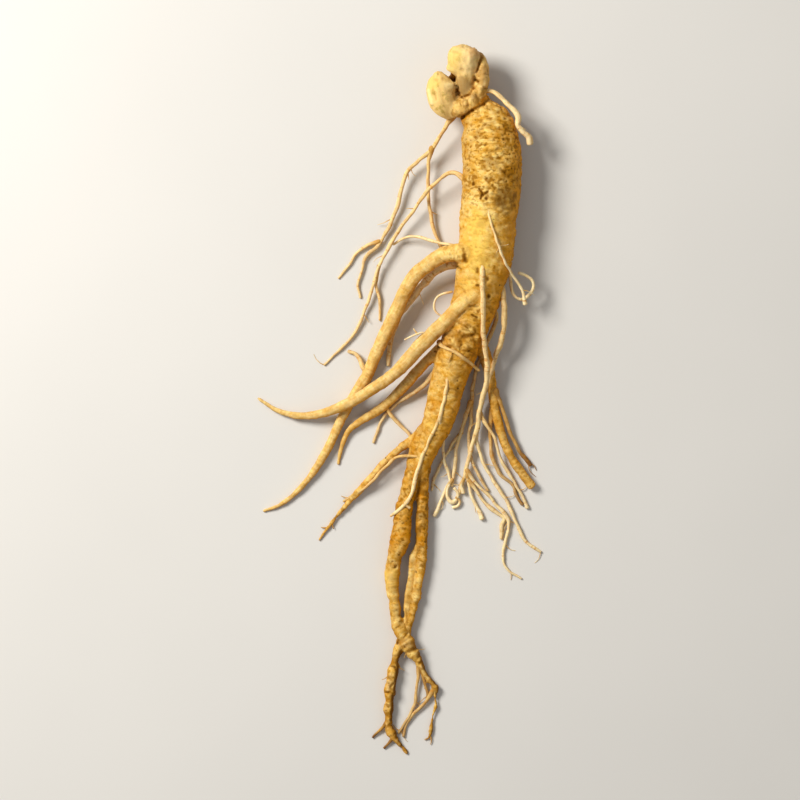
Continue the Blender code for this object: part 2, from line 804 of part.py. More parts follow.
def join(solid, collection, operation):
    """One Boolean with the collection's objects, which are then removed."""
    modifier = solid.modifiers.new("join", "BOOLEAN")
    modifier.operand_type = "COLLECTION"
    modifier.collection = collection
    modifier.operation = operation
    modifier.solver = "EXACT"
    graph = bpy.context.evaluated_depsgraph_get()
    joined = bpy.data.meshes.new_from_object(solid.evaluated_get(graph))
    solid.modifiers.clear()
    solid.data = joined
    for obj in list(collection.objects):
        bpy.data.objects.remove(obj)


def cut_flat_spot(solid, cutters):
    """Cuts the underside level with the surface, which leaves the flat that the root rests on."""
    bpy.ops.mesh.primitive_cube_add(size=1.0)
    cutter = bpy.context.object
    cutter.name = "surface_cutter"
    cutter.location = (0.0, 0.0, -FLAT_CUT_HEIGHT * MM / 2)
    cutter.scale = (FLAT_CUT_SPAN * MM, FLAT_CUT_SPAN * MM, FLAT_CUT_HEIGHT * MM)
    for collection in list(cutter.users_collection):
        collection.objects.unlink(cutter)
    cutters.objects.link(cutter)
    cutter.hide_render = True
    cutter.display_type = "WIRE"
    bpy.context.view_layer.update()
    join(solid, cutters, "DIFFERENCE")


def skin_material():
    material = bpy.data.materials.new("root_skin")
    material.use_nodes = True
    shader = material.node_tree.nodes["Principled BSDF"]
    shader.inputs["Base Color"].default_value = SKIN_COLOUR
    shader.inputs["Roughness"].default_value = SKIN_ROUGHNESS
    shader.inputs["Metallic"].default_value = 0.0
    return material


def main():
    clear_scene()
    parts = new_collection(NAME)
    branches = new_collection("branches")
    cutters = new_collection("cutters")
    root = body_root(parts)
    head_pieces(branches)
    leg_pieces(branches)
    rootlet_pieces(branches)
    join(root, branches, "UNION")
    cut_flat_spot(root, cutters)
    root.data.materials.clear()
    root.data.materials.append(skin_material())
    root.data.shade_smooth()


main()
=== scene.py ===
"""The looks of a fresh ginseng root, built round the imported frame.

Frame: +Y runs from the tail to the head, +X to the right seen from above, +Z up, and the root
lies on z = 0. Routes are in millimetres: each point is (x, y, z, radius), from the base of a
root to its tip. The thick roots are joined in one skin, whose rings, lumps and pits are pushed
out of it, and the rootlets and hairs are finer tubes whose bases sink into what they grow from.

The functions below work on all points of a mesh at once. `noise`, `dots` and `patch` take a seed
as their last number, so each kind of relief and colour has its own pattern, the same each run.
"""

import collections
import math
import random

import bpy
import numpy as np
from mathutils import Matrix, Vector


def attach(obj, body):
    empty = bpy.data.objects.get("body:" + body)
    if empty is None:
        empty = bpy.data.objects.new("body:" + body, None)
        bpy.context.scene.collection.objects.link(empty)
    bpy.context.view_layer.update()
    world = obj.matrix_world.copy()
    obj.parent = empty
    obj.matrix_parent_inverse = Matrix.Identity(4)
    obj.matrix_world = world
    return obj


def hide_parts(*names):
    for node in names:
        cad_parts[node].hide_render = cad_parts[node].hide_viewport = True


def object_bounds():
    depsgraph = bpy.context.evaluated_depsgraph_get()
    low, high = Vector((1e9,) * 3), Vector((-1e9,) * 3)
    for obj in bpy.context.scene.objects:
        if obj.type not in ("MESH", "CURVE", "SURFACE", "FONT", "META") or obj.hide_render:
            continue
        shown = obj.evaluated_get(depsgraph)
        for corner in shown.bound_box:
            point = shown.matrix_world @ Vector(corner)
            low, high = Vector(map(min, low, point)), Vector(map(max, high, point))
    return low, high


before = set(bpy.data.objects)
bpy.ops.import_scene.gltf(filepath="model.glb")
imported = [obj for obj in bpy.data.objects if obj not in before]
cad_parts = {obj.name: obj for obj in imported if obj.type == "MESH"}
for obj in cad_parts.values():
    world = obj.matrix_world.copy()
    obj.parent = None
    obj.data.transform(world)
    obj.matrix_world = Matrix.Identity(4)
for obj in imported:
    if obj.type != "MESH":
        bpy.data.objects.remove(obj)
cad_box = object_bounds()

MM = 0.001
BODY = "root"
NODE = "ginseng_root"

# Mesh sizes, in millimetres: the skin's voxels, the gaps between the rings of thick and of fine
# roots, and how wide one side of a thick root's tube is.
SKIN_VOXEL = 0.42
THICK_GAP = 0.7
FINE_GAP = 0.55
SIDE_WIDTH = 0.8

# How the raw skin and then its junctions are softened, as a share and a number of rounds, and the
# gaps in millimetres between which a junction goes from soft to left alone.
SKIN_SOFTENING = (0.5, 2)
JUNCTION_SOFTENING = (0.6, 16)
JUNCTION_GAPS = (0.6, 2.2)

# How many sides the tubes have, and the most triangles of the skin.
FEWEST_SIDES = 14
MOST_SIDES = 84
ROOTLET_SIDES = 10
HAIR_SIDES = 6
MOST_TRIANGLES = 192000

# Seeds of the random draws: the rootlets' kinks, the place of their patterns, and the hairs.
KINK_SEED = 11
PATTERN_SEED = 5
HAIR_SEED = 29

# The main root, from under the head to where it parts into the two tail legs.
MAIN_ROOT = [
    (33, 118, 11, 3.2), (33.8, 114.8, 11, 7), (34.9, 110.6, 10.9, 9.7), (35.8, 104, 10.8, 11.4),
    (36.5, 90, 10.9, 11.7), (35.9, 79, 10.8, 11.6), (34.9, 69, 10.7, 11.4), (34.3, 61, 10.6, 11.3),
    (33, 52.6, 10.7, 10.8), (31, 43.4, 10.3, 9.9), (28.2, 34, 9.8, 9.1), (24.7, 24.7, 9, 8.2),
    (21.4, 15.3, 8.3, 7.5), (19, 6.8, 7.8, 7.1), (16.8, -2.5, 7.3, 6.7), (15, -8.5, 6.8, 6.2),
    (12.3, -15.3, 6, 5.3), (10, -21, 5.2, 4.6), (7.6, -27, 4.4, 3.8),
]

# The head: the neck, a cup-shaped crown, two buds with a corner each, and the nodular collar on
# the cup's rim.
HEAD = {
    "neck": [
        (34, 106.5, 10.6, 8.2), (31.4, 112.5, 10, 7.6), (29, 117.5, 8.2, 6.4), (27, 122, 6.8, 5.2),
    ],
    "crown": [
        (26, 124.6, 1.8, 3.8), (26, 124.4, 4, 7), (26.2, 124, 6.4, 8.4), (26.4, 123.8, 8.8, 8.4),
    ],
    "top_bud": [
        (25.4, 119.6, 10.8, 2.8), (25.6, 122.6, 12.8, 3.5), (25.6, 126, 13.9, 3.7),
        (26, 129, 14.3, 4.1), (25.6, 131.6, 14.5, 5.1), (24.9, 134, 14.5, 6.1),
        (25.1, 136.6, 14.4, 6.2), (25.5, 138.6, 14.3, 4.9), (25.8, 139.6, 14.2, 2.8),
    ],
    "bud_lobe": [
        (26, 133, 14.2, 3.4), (22.8, 131.9, 14.9, 3.9), (20.3, 131.5, 15.1, 2.7),
        (18.9, 131.2, 15, 1.3),
    ],
    "left_bud": [
        (15.2, 129, 12.4, 2), (15.4, 127.4, 12.6, 4), (15.7, 124.6, 12.7, 5.3),
        (15.9, 121.4, 12.7, 5.6), (17, 118, 12.6, 5.5), (18.7, 114.8, 12.2, 4.3),
        (20, 112.6, 11.6, 2.4),
    ],
    "left_bud_corner": [
        (16.4, 123.6, 14, 4), (19.4, 124.2, 15, 2.7), (21.4, 124.4, 15.2, 1.3),
    ],
    "collar": [
        (31.6, 137.2, 13, 1), (32.2, 134.6, 13.8, 1.9), (32.4, 131, 14.4, 2.7),
        (32.4, 126.4, 14.6, 3.1), (31.2, 122.2, 14.4, 3.4), (28.4, 118.4, 14.2, 3.7),
        (25, 116, 13.8, 3.8), (21.6, 114.8, 13.2, 3.4),
    ],
}

# How round the ends of these thick roots are, at the base and at the tip, and those of the other
# thick roots and of the fine ones.
END_ROUNDNESS = {
    "crown": (0.1, 0.12),
    "top_bud": (0.4, 0.3),
    "bud_lobe": (0.5, 0.5),
    "left_bud": (0.5, 0.5),
    "left_bud_corner": (0.5, 0.6),
    "collar": (0.6, 0.6),
    "right_leg_broken": (1.0, 0.3),
}
FULL_ROUNDNESS = (1.0, 1.0)
FINE_ROUNDNESS = (1.0, 0.5)

# The two legs of the tail, which cross and are grown together, the strand beside the right one,
# and the thick side roots.
LEGS = {
    "tail_leg_right": [
        (12.4, -11, 6.4, 3.4), (10.2, -21, 4.8, 3.2), (9.4, -29.4, 4, 2.6), (9.2, -36, 3.4, 2.5),
        (8.9, -44, 3.2, 2.6), (8.8, -52, 3.1, 2.6), (8.5, -59, 3.1, 2.55), (8.4, -65, 3, 2.15),
        (7.4, -72, 2.9, 1.95), (6.2, -79, 2.8, 1.85), (4.4, -86.4, 2.8, 1.75), (1.8, -93.4, 2.9, 1.9),
        (-0.4, -98.4, 2.8, 1.9), (-1.8, -102.4, 2.7, 1.95), (-2.6, -106.6, 2.6, 2.15),
        (-3.2, -110.6, 2.5, 2.1), (-3.8, -114.4, 2.3, 2.2), (-4.4, -119.2, 2.1, 1.8),
        (-4.7, -124.4, 1.9, 1.75), (-4.6, -129.2, 1.8, 1.75), (-2.6, -133.8, 1.4, 1.2),
        (0.6, -137.6, 0.9, 0.9), (2.9, -140.4, 0.4, 0.6),
    ],
    "tail_leg_left": [
        (9.6, -12.5, 6, 3.6), (5.8, -24.2, 4.6, 3.2), (4.4, -30.6, 4.2, 3.2), (2.6, -38.7, 4.2, 3.3),
        (1.2, -46.4, 4.4, 3.5), (0.5, -52, 4.5, 3.85), (-0.1, -56.4, 4.4, 3.9), (-1.6, -60.4, 4.1, 3.4),
        (-2.6, -64, 3.8, 3.05), (-3.1, -70, 3.5, 2.95), (-2.9, -76, 3.4, 2.6), (-2.1, -82, 3.3, 2.3),
        (-1.3, -88, 3.4, 2.3), (0.5, -92.6, 3.6, 2.5), (2.7, -96.2, 3.5, 2.9), (4.6, -100, 3.1, 2.3),
        (6.8, -102.8, 2.7, 1.9), (8.6, -106.2, 2.3, 1.5), (11, -110.4, 1.9, 1.35),
        (13.8, -114.4, 1.8, 1.8), (14, -117.4, 1.4, 0.95), (14.2, -121.2, 1.2, 0.75),
        (13.2, -125, 1, 0.75), (12.5, -128.8, 0.9, 0.7), (12.1, -132, 0.8, 0.85),
        (11.4, -134.2, 0.7, 0.8), (9.8, -135, 0.4, 0.55),
    ],
    "tail_strand": [
        (7.6, -57.4, 3.3, 1.6), (5.2, -62.4, 3, 1.55), (4.6, -68, 2.8, 1.2), (3.5, -74.4, 2.7, 1.25),
        (2.6, -80.6, 2.8, 1.3), (2.6, -86, 3, 1.1), (2.4, -91, 3, 0.9),
    ],
    "left_root_upper": [
        (29, 57.4, 15.6, 3.6), (25.6, 57.8, 16.6, 3.8), (21.4, 58.2, 15.8, 3.6),
        (16.6, 57.2, 14.4, 3.3), (11.4, 53.9, 12.4, 3.1), (6, 49.1, 10.2, 3), (1.9, 42.6, 8.4, 2.95),
        (-1, 36.2, 6.8, 2.85), (-3.8, 30.2, 5.5, 2.8), (-6.8, 24, 4.5, 2.7), (-10, 17, 3.6, 2.6),
        (-12.8, 10.4, 3, 2.45), (-16.1, 4.8, 2.7, 2.3), (-20, -1.2, 2.4, 2.15),
        (-24.2, -9.6, 2.2, 1.95), (-28.8, -19.4, 2, 1.7), (-34.4, -28.6, 1.6, 1.4),
        (-41, -36.4, 1.2, 1.1), (-48, -41.8, 0.8, 0.85), (-54, -44, 0.4, 0.65),
    ],
    "left_root_lower": [
        (33.4, 44.6, 14.4, 3.4), (30.2, 42.2, 17, 3.5), (26.8, 39.4, 17.6, 3.4),
        (22.8, 35.8, 16.8, 3.2), (17.4, 30.4, 15.4, 3), (10.4, 23.8, 13.6, 2.9), (4.8, 17.9, 12, 2.85),
        (-0.4, 12.2, 10.6, 2.75), (-5.4, 8, 9.6, 2.6), (-10.4, 4.6, 8.7, 2.45), (-15.4, 1.5, 7.9, 2.3),
        (-20.2, -1.2, 6.9, 2.2), (-26.2, -3.8, 5.6, 2), (-33, -5.8, 4, 1.75), (-41, -6.2, 2.4, 1.4),
        (-49, -4, 1.2, 1.05), (-56.2, 0.6, 0.45, 0.7),
    ],
    "right_leg_broken": [
        (27.6, 27, 6.8, 3.4), (32.6, 20, 5.6, 2.7), (35.8, 9.8, 4.4, 2.1), (37.4, -1.5, 3.6, 1.85),
        (40, -12.6, 3, 1.8), (44, -22.6, 2.6, 1.75), (48.6, -29.4, 2.3, 1.8), (52.6, -34.4, 1.9, 1.8),
    ],
    "left_root_third": [
        (20.4, 24, 7.4, 2.6), (14.4, 19, 6.8, 2.3), (8.4, 13, 5.4, 2.1), (3.2, 7.2, 4.2, 2.05),
        (-1.4, 2.4, 3.4, 1.95), (-6, -2.2, 2.8, 1.9), (-11, -5.6, 2.3, 1.75), (-16, -8.6, 1.9, 1.5),
        (-20.6, -12.4, 1.4, 1.2), (-23.2, -18.6, 0.9, 0.95), (-24.6, -25.4, 0.4, 0.65),
    ],
    "tail_branch": [
        (10.6, -11, 5.4, 3), (6.4, -14.8, 4.6, 2.2), (1.4, -18.2, 3.6, 1.7), (-4.6, -23.4, 2.9, 1.5),
        (-9.6, -28.6, 2.4, 1.4), (-15.4, -35.2, 1.9, 1.25), (-20.8, -41, 1.4, 1.05),
        (-26.4, -47.8, 1, 0.85), (-32, -55.4, 0.4, 0.65),
    ],
}

# Rootlets, down to about 1 mm thick. Each starts with how white it is towards its base and towards
# its tip, and how brown it is, from 0 to 1. Its route follows.
ROOTLETS = {
    "top_rootlet": [(0.55, 0.6, 0),
        (32.4, 55.6, 19.2, 1.3), (32.5, 51.6, 20.8, 1.1), (32.6, 43, 20.4, 1.1), (32.7, 34, 18.2, 1.05),
        (33, 24.8, 15, 1), (34.1, 17.4, 12.4, 1), (34.6, 10.6, 10.2, 1), (33.6, 4, 8.2, 0.95),
        (31.6, -3.4, 6.4, 0.95), (30.6, -11, 4.8, 0.95), (28.6, -18.6, 3.4, 0.9),
        (26.8, -26, 2.5, 0.85), (25.6, -31, 2, 0.8), (24.2, -34.6, 1.5, 0.75), (23, -38, 0.75, 0.65),
    ],
    "right_rootlet": [(0.45, 0.85, 0.05),
        (36.6, 48.6, 11.4, 2.2), (39.8, 44.4, 12.4, 1.5), (41, 40, 12.8, 1.2), (41.4, 34.6, 12.6, 1.15),
        (41.3, 29.4, 11.8, 1.1), (40.5, 24.8, 10.6, 1.05), (38.6, 19.4, 8.6, 1), (37, 13.4, 6.4, 0.95),
        (34.6, 6, 5.2, 0.9), (32.2, -1.4, 4, 0.85), (31, -9.4, 3.1, 0.8), (30.4, -15.4, 2.6, 0.75),
        (31.4, -20.4, 2.2, 0.7), (33.2, -25.4, 1.8, 0.65), (36.4, -30.8, 1.5, 0.65),
        (39.6, -35.8, 1.3, 0.7), (42.6, -40.8, 1.1, 0.7), (46.4, -49.4, 0.9, 0.75),
        (50.4, -56.6, 0.7, 0.65), (56, -60.4, 0.35, 0.5),
    ],
    "right_rootlet_inner": [(0.3, 0.6, 0.2),
        (33.6, 39.6, 7.8, 1.7), (38, 33.6, 6.6, 1), (36.2, 27, 5, 0.9), (33.4, 20.2, 3.6, 0.85),
        (31, 14.4, 2.9, 0.8), (29.4, 8, 2.4, 0.8), (28.6, 0, 2, 0.75), (28.2, -8, 1.8, 0.75),
        (27.2, -15, 1.7, 0.7), (27.8, -21.6, 1.6, 0.7), (29.6, -26.4, 1.4, 0.65),
        (32.2, -31.4, 1.1, 0.65), (35, -36.2, 0.7, 0.6),
    ],
    "fan_middle": [(0.5, 0.8, 0.1),
        (28, -1, 3.4, 1.2), (26.2, -6.4, 2.8, 0.8), (24.4, -12.6, 2.1, 0.75), (22.4, -18.8, 1.5, 0.7),
        (21.8, -24.6, 1.1, 0.7), (21.2, -30, 0.9, 0.7), (20.5, -34, 0.6, 0.65),
    ],
    "fan_left": [(0.6, 0.85, 0.05),
        (24.4, -13, 1.9, 0.9), (20.6, -17.6, 1.4, 0.65), (18.4, -21.6, 1.1, 0.6),
        (15.4, -27, 0.9, 0.55), (13.6, -31.6, 0.7, 0.55), (12.6, -36, 0.4, 0.5),
    ],
    "fan_long": [(0.8, 0.85, 0.05),
        (26.6, -28, 2.6, 1), (29.4, -32, 2.1, 0.65), (33.6, -36.2, 1.7, 0.6), (38.4, -41.6, 1.4, 0.6),
        (42.8, -47.2, 1.2, 0.9), (43.2, -51, 1, 0.65), (41.8, -56.2, 0.8, 0.6), (40.8, -61.6, 0.7, 0.6),
        (42, -66.6, 0.6, 0.5), (48.2, -70.8, 0.35, 0.45),
    ],
    "fan_outer": [(0.65, 0.75, 0.1),
        (27.4, -32, 1.9, 0.9), (30.8, -36.6, 1.5, 0.6), (33.8, -40.8, 1.2, 0.65), (36.6, -43.4, 1, 0.8),
        (41.4, -47, 0.9, 0.65), (40.6, -49.8, 0.8, 0.85), (40.3, -55.4, 0.5, 0.7),
    ],
    "fan_stub": [(0.8, 1, 0),
        (26.6, -29.6, 2.3, 1), (27.4, -33.6, 1.7, 0.65), (28.4, -38.6, 1.3, 0.65),
        (30.8, -42.6, 1, 0.7), (32.6, -47, 0.8, 1),
    ],
    "fan_white_tip": [(0.8, 1, 0),
        (20.6, -31.8, 1.5, 0.8), (18.6, -35, 1.2, 0.6), (16.8, -39.4, 1, 0.6), (13.8, -46.2, 0.7, 0.85),
    ],
    "fan_knob": [(0.8, 1, 0),
        (25.4, -31.2, 2.2, 0.7), (24.3, -34.2, 1.9, 0.7), (25, -36.8, 1.5, 0.9),
    ],
    "surface_rootlet": [(0.5, 0.95, 0),
        (18.7, 11.4, 13.6, 0.6), (18.6, 6.9, 14.6, 0.65), (18.2, 2.4, 14.2, 0.7),
        (16.9, -2.7, 13.9, 0.7), (15.8, -7.2, 13.3, 0.75), (16.2, -11.6, 10.2, 0.7),
        (16.8, -16, 7, 0.7), (17, -19.6, 4.8, 0.65), (17.8, -24.7, 2.8, 0.65), (19.6, -29.9, 1.7, 0.65),
        (19.8, -32.6, 1.5, 0.65), (18.8, -35.6, 1.4, 0.65), (18.9, -38.6, 1.3, 0.7),
        (20.6, -40.7, 1.1, 0.9), (22.4, -39.2, 1.3, 0.65), (22.8, -36.8, 1.6, 0.6),
        (21.4, -35.2, 1.9, 0.6),
    ],
    "leg_companion": [(0.05, 0.1, 0.8),
        (37.6, 3.6, 4.4, 1.6), (40, -2.4, 3.4, 0.95), (42.2, -8.4, 2.7, 0.85), (44.8, -15.4, 2, 0.8),
        (47.4, -20.2, 1.6, 0.75), (51.8, -25.8, 0.8, 0.9),
    ],
    "leg_rootlet": [(0.5, 0.9, 0.1),
        (31.4, -4.4, 4.4, 1.1), (34.2, -9.6, 4.8, 0.65), (37.4, -14.4, 4.8, 0.6),
        (38.8, -19.4, 3.6, 0.6), (40.4, -24.6, 2.2, 0.65), (43.6, -29.8, 1.4, 0.65),
        (48.8, -38.6, 0.9, 0.65), (50.6, -42.8, 0.6, 0.8),
    ],
    "leg_rootlet_brown": [(0.1, 0.5, 0.6),
        (36.6, -3.6, 2.8, 1.2), (35.8, -10.6, 2.2, 0.8), (36.2, -17.6, 1.7, 0.75),
        (37.4, -24.8, 1.3, 0.75), (40.2, -29.6, 1, 0.7), (44.6, -33.4, 0.8, 0.65),
        (46.2, -37.6, 0.6, 0.6), (48.6, -41.6, 0.4, 0.55),
    ],
    "head_stub": [(0.55, 0.8, 0),
        (31.6, 122.6, 12.6, 1.4), (36.4, 121.9, 14.2, 0.8), (39.8, 119.8, 14.8, 0.95),
        (42.4, 117.2, 15.2, 1.1), (44.9, 114.5, 15.4, 1.2), (46.7, 111.4, 15.6, 1.25),
        (46.4, 108.4, 15.6, 1.15), (48.4, 106, 15.2, 1.2), (50.9, 104, 14.4, 1.35),
        (51.5, 101.4, 13.4, 1.4),
    ],
    "head_rootlet": [(0.4, 0.55, 0.1),
        (20.8, 112.4, 9.8, 1.5), (17.6, 107.8, 8.6, 0.9), (14.6, 102.8, 7.2, 0.85),
        (11.4, 98.2, 6.2, 0.9), (7.4, 95.2, 5.2, 0.8), (3.4, 91.2, 4.4, 0.8), (1.2, 86.2, 3.6, 0.8),
        (0, 80.6, 3, 0.8), (-2.2, 73.6, 2.4, 0.8), (-5.6, 66.4, 1.9, 0.75), (-9.6, 60.4, 1.6, 0.7),
        (-13.4, 57, 1.3, 0.65), (-14.8, 52, 1.1, 0.6), (-16.6, 45.4, 0.9, 0.55),
        (-15.6, 40.6, 0.4, 0.5),
    ],
    "head_rootlet_long": [(0.3, 0.4, 0.2),
        (12.6, 99.8, 6.6, 1.1), (11.4, 95, 5.2, 0.8), (11, 87, 3.8, 0.75), (11.4, 79, 2.9, 0.75),
        (12.6, 71, 2.3, 0.75), (14.4, 65, 1.9, 0.7), (19, 56, 1.1, 0.6),
    ],
    "head_rootlet_fork": [(0.45, 0.6, 0.1),
        (-8.4, 63, 1.9, 0.8), (-12.8, 61.6, 1.4, 0.65), (-17, 58.6, 1, 0.6), (-20.6, 53.4, 0.8, 0.55),
        (-24.6, 48.4, 0.3, 0.45),
    ],
    "side_rootlet": [(0.4, 0.55, 0.1),
        (28.6, 84, 10.4, 1.9), (22.8, 89.6, 10.4, 1), (18.6, 89.4, 9.6, 0.8), (11, 82.8, 7.4, 0.75),
        (5.8, 75.6, 5.6, 0.75), (-0.2, 67.6, 4.4, 0.75), (-4.6, 60.4, 3.8, 0.75), (-8.8, 52, 3.4, 0.7),
        (-11.4, 43, 2.6, 0.7), (-14, 35.2, 1.8, 0.65), (-18, 26.8, 1.2, 0.6), (-23.6, 20.4, 0.8, 0.55),
        (-30, 14, 0.35, 0.45),
    ],
    "side_rootlet_fork": [(0.45, 0.5, 0.1),
        (-8.4, 53.2, 3.2, 0.8), (-9.6, 46.4, 2, 0.65), (-8.2, 39.6, 1.2, 0.55), (-7.8, 31.6, 0.5, 0.45),
    ],
    "pale_side_rootlet": [(0.7, 0.8, 0),
        (24.6, 60.4, 9.6, 1.1), (19.4, 61.4, 9.2, 0.7), (14.4, 62.7, 8.2, 0.6), (9.6, 64.2, 6.6, 0.6),
        (5.4, 65, 5, 0.6), (1, 64, 3.4, 0.55), (-2.6, 61.8, 2.2, 0.5),
    ],
    "curled_rootlet": [(0.5, 1, 0),
        (34.2, 78, 20.8, 0.5), (34.8, 74.6, 21.7, 0.5), (35.8, 69.6, 22.2, 0.5),
        (38.4, 62.4, 21.6, 0.5), (41.4, 54.6, 19, 0.55), (44.6, 49.4, 15, 0.55),
        (47.4, 45.4, 13.2, 0.6), (48.8, 41.4, 12, 0.7), (49.4, 38, 11, 0.95),
    ],
    "hooked_rootlet": [(0.9, 1, 0),
        (40, 53, 8.4, 1.6), (43.2, 49.6, 9, 0.75), (44.2, 44.8, 9.4, 0.65), (45.4, 41.2, 9.2, 0.65),
        (48, 39.8, 8.6, 0.65), (51, 41.6, 8.4, 0.65), (52.7, 44.6, 8.6, 0.65), (51.8, 48, 9.2, 0.6),
        (47.2, 50.2, 10.2, 0.55),
    ],
    "crossing_rootlet": [(0.3, 0.3, 0.15),
        (15.6, 22.8, 11, 1.2), (16.6, 21.3, 14, 0.75), (20.2, 19.6, 16.5, 0.7), (24.4, 17, 16.8, 0.65),
        (28.4, 14.2, 14, 0.6), (31.4, 11.8, 11.4, 0.55),
    ],
    "under_rootlet": [(0.75, 0.6, 0),
        (24.4, 55, 8.2, 2.2), (15, 51.6, 7.2, 1.6), (9.8, 46.4, 5.6, 1.6), (5.2, 41, 4.2, 1.5),
        (1.4, 35.8, 3, 1.35), (-1.8, 29.6, 2.1, 1.15), (-4, 21.6, 1.3, 0.95), (-4.8, 13.6, 0.6, 0.7),
    ],
    "pale_rootlet": [(0.45, 0.6, 0.15),
        (18.6, 14, 6, 1.6), (14, 11.6, 5.2, 0.95), (10.4, 6.8, 3.8, 0.85), (4.4, 2.2, 2.6, 0.8),
        (-1.2, -1.4, 1.8, 0.75), (-6.6, -7.2, 1.1, 0.65), (-10.6, -17, 0.4, 0.5),
    ],
    "third_rootlet": [(0.35, 0.6, 0.15),
        (-5.4, -2.6, 2.6, 1), (-3.8, -6, 2.2, 0.75), (-0.4, -9.4, 1.6, 0.7), (3.4, -13.2, 1.2, 0.65),
        (6.2, -18.4, 0.4, 0.55),
    ],
    "upper_hook": [(0.3, 0.55, 0.2),
        (-12.4, 10.4, 3.4, 1.3), (-14.8, 13.4, 3.2, 0.95), (-16, 16.2, 2.4, 0.85),
        (-17.8, 18.4, 1.6, 0.75), (-20.4, 19.4, 0.6, 0.65),
    ],
    "tail_pale_rootlet": [(0.2, 0.3, 0.25),
        (9.8, -24.6, 6.6, 1.2), (7.4, -22.6, 7.8, 0.65), (2.8, -22, 7.4, 0.6), (-1.2, -22.8, 6.4, 0.6),
        (-4.8, -25.6, 5.4, 0.6), (-12.6, -33.8, 3.6, 0.6), (-17.4, -37.4, 2.4, 0.55),
        (-22.6, -40.2, 0.9, 0.5),
    ],
    "tail_crescent": [(0.45, 0.8, 0),
        (15.9, -6, 13.2, 0.7), (13.8, -11.4, 12.3, 0.65), (11.7, -15.6, 11.3, 0.65),
        (10, -19.6, 10, 0.65), (8.7, -22.6, 9.2, 0.7), (7.2, -27, 8.2, 0.75), (6.1, -31.5, 7.2, 0.8),
        (5.2, -35.8, 7, 0.75), (3.2, -40, 7.5, 0.75), (0.4, -43, 7.5, 0.7), (-3.6, -46.2, 5.4, 0.55),
    ],
    "tail_twig_long": [(0.25, 0.4, 0.35),
        (7.4, -105, 2.3, 1), (7.2, -111, 1.7, 0.6), (6.5, -117, 1.3, 0.6), (5.4, -122.4, 1.1, 0.6),
        (2.9, -127.2, 0.9, 0.6), (-0.6, -132.4, 0.4, 0.55),
    ],
    "tail_twig_middle": [(0.2, 0.35, 0.4),
        (13.6, -114.6, 1.7, 1.1), (10.8, -119.2, 1.3, 0.65), (8.2, -122.2, 1, 0.65),
        (5.4, -124.9, 0.9, 0.65), (3.2, -128, 0.7, 0.6), (1.2, -133.6, 0.4, 0.55),
    ],
    "tail_twig_inner": [(0.05, 0.1, 0.75),
        (8.4, -106.8, 2.1, 0.9), (10, -112, 1.5, 0.6), (11, -117, 1.2, 0.6), (10.6, -119.2, 0.9, 0.55),
    ],
    "tail_twig_left": [(0, 0, 1),
        (-4.8, -127.4, 1.7, 1), (-7, -130.4, 1.2, 0.6), (-10.6, -134.2, 0.4, 0.45),
    ],
    "tail_twig_end": [(0, 0, 1),
        (-2.6, -133.8, 1.4, 0.9), (-4.6, -136.6, 0.9, 0.5), (-6.2, -138.4, 0.4, 0.45),
    ],
    "side_twig": [(0.7, 0.9, 0),
        (11.4, 24.4, 14, 0.6), (9, 26.6, 15.4, 0.45), (6.4, 26, 15.8, 0.4), (3.8, 24.8, 15.4, 0.35),
        (1.8, 23.8, 15, 0.3),
    ],
    "side_twig_fork": [(0.8, 0.9, 0),
        (7, 26, 15.6, 0.4), (6, 27.2, 15.4, 0.3), (5.4, 28.2, 15.2, 0.25),
    ],
    "left_loop": [(1, 1, 0),
        (20.4, 42.8, 11, 0.5), (16.2, 41.8, 9.8, 0.45), (13.8, 39.4, 8.8, 0.42), (13.6, 36.6, 8, 0.42),
        (15.4, 34.2, 7.2, 0.4), (17.4, 33.4, 6.6, 0.35),
    ],
    "crescent_stub": [(0.8, 1, 0),
        (1.6, -41.4, 7.6, 0.6), (2.8, -42.1, 7.6, 0.5), (4, -42.8, 7.4, 0.55),
    ],
    "curl_hook": [(1, 1, 0),
        (22.4, -38.8, 1.6, 0.6), (23.8, -40.2, 1.2, 0.5), (23, -42, 0.9, 0.55),
        (21.2, -42.6, 0.7, 0.65),
    ],
}

# How white and how brown the hairs of the tail legs are, in the same way.
HAIR_TONE = (0.30, 0.30, 0.30)

# How each thick root's skin looks: paleness, amber tint, depth of its relief, how speckled it is,
# whether it is a bud, and how far it melts into the root that it grows from.
Look = collections.namedtuple("Look", "pale amber relief speckle bud weld")
LOOKS = {
    "main": Look(0.0, 0.0, 1.0, 0.0, 0.0, 1.0),
    "neck": Look(0.0, 0.5, 0.8, 0.7, 0.0, 1.0),
    "crown": Look(0.0, 0.6, 0.7, 0.6, 0.0, 0.5),
    "top_bud": Look(0.1, 0.0, 0.5, 0.05, 1.0, 0.5),
    "bud_lobe": Look(0.1, 0.0, 0.5, 0.05, 1.0, 0.5),
    "left_bud": Look(0.05, 0.0, 0.6, 0.1, 1.0, 0.8),
    "left_bud_corner": Look(0.2, 0.0, 0.6, 0.1, 1.0, 0.8),
    "collar": Look(0.08, 0.38, 0.7, 0.6, 0.45, 0.9),
    "tail_leg_right": Look(0.05, 0.2, 1.1, 0.2, 0.0, 0.7),
    "tail_leg_left": Look(0.0, 0.0, 1.1, 0.0, 0.0, 0.7),
    "left_root_upper": Look(0.65, 0.0, 0.9, 0.28, 0.0, 1.0),
    "left_root_lower": Look(0.75, 0.0, 0.9, 0.22, 0.0, 0.8),
    "right_leg_broken": Look(0.15, 0.55, 0.8, 0.6, 0.0, 0.8),
    "left_root_third": Look(0.5, 0.2, 0.7, 0.3, 0.0, 0.8),
    "tail_branch": Look(0.25, 0.35, 0.9, 0.5, 0.0, 0.8),
    "tail_strand": Look(0.30, 0.20, 0.8, 0.4, 0.0, 0.8),
}

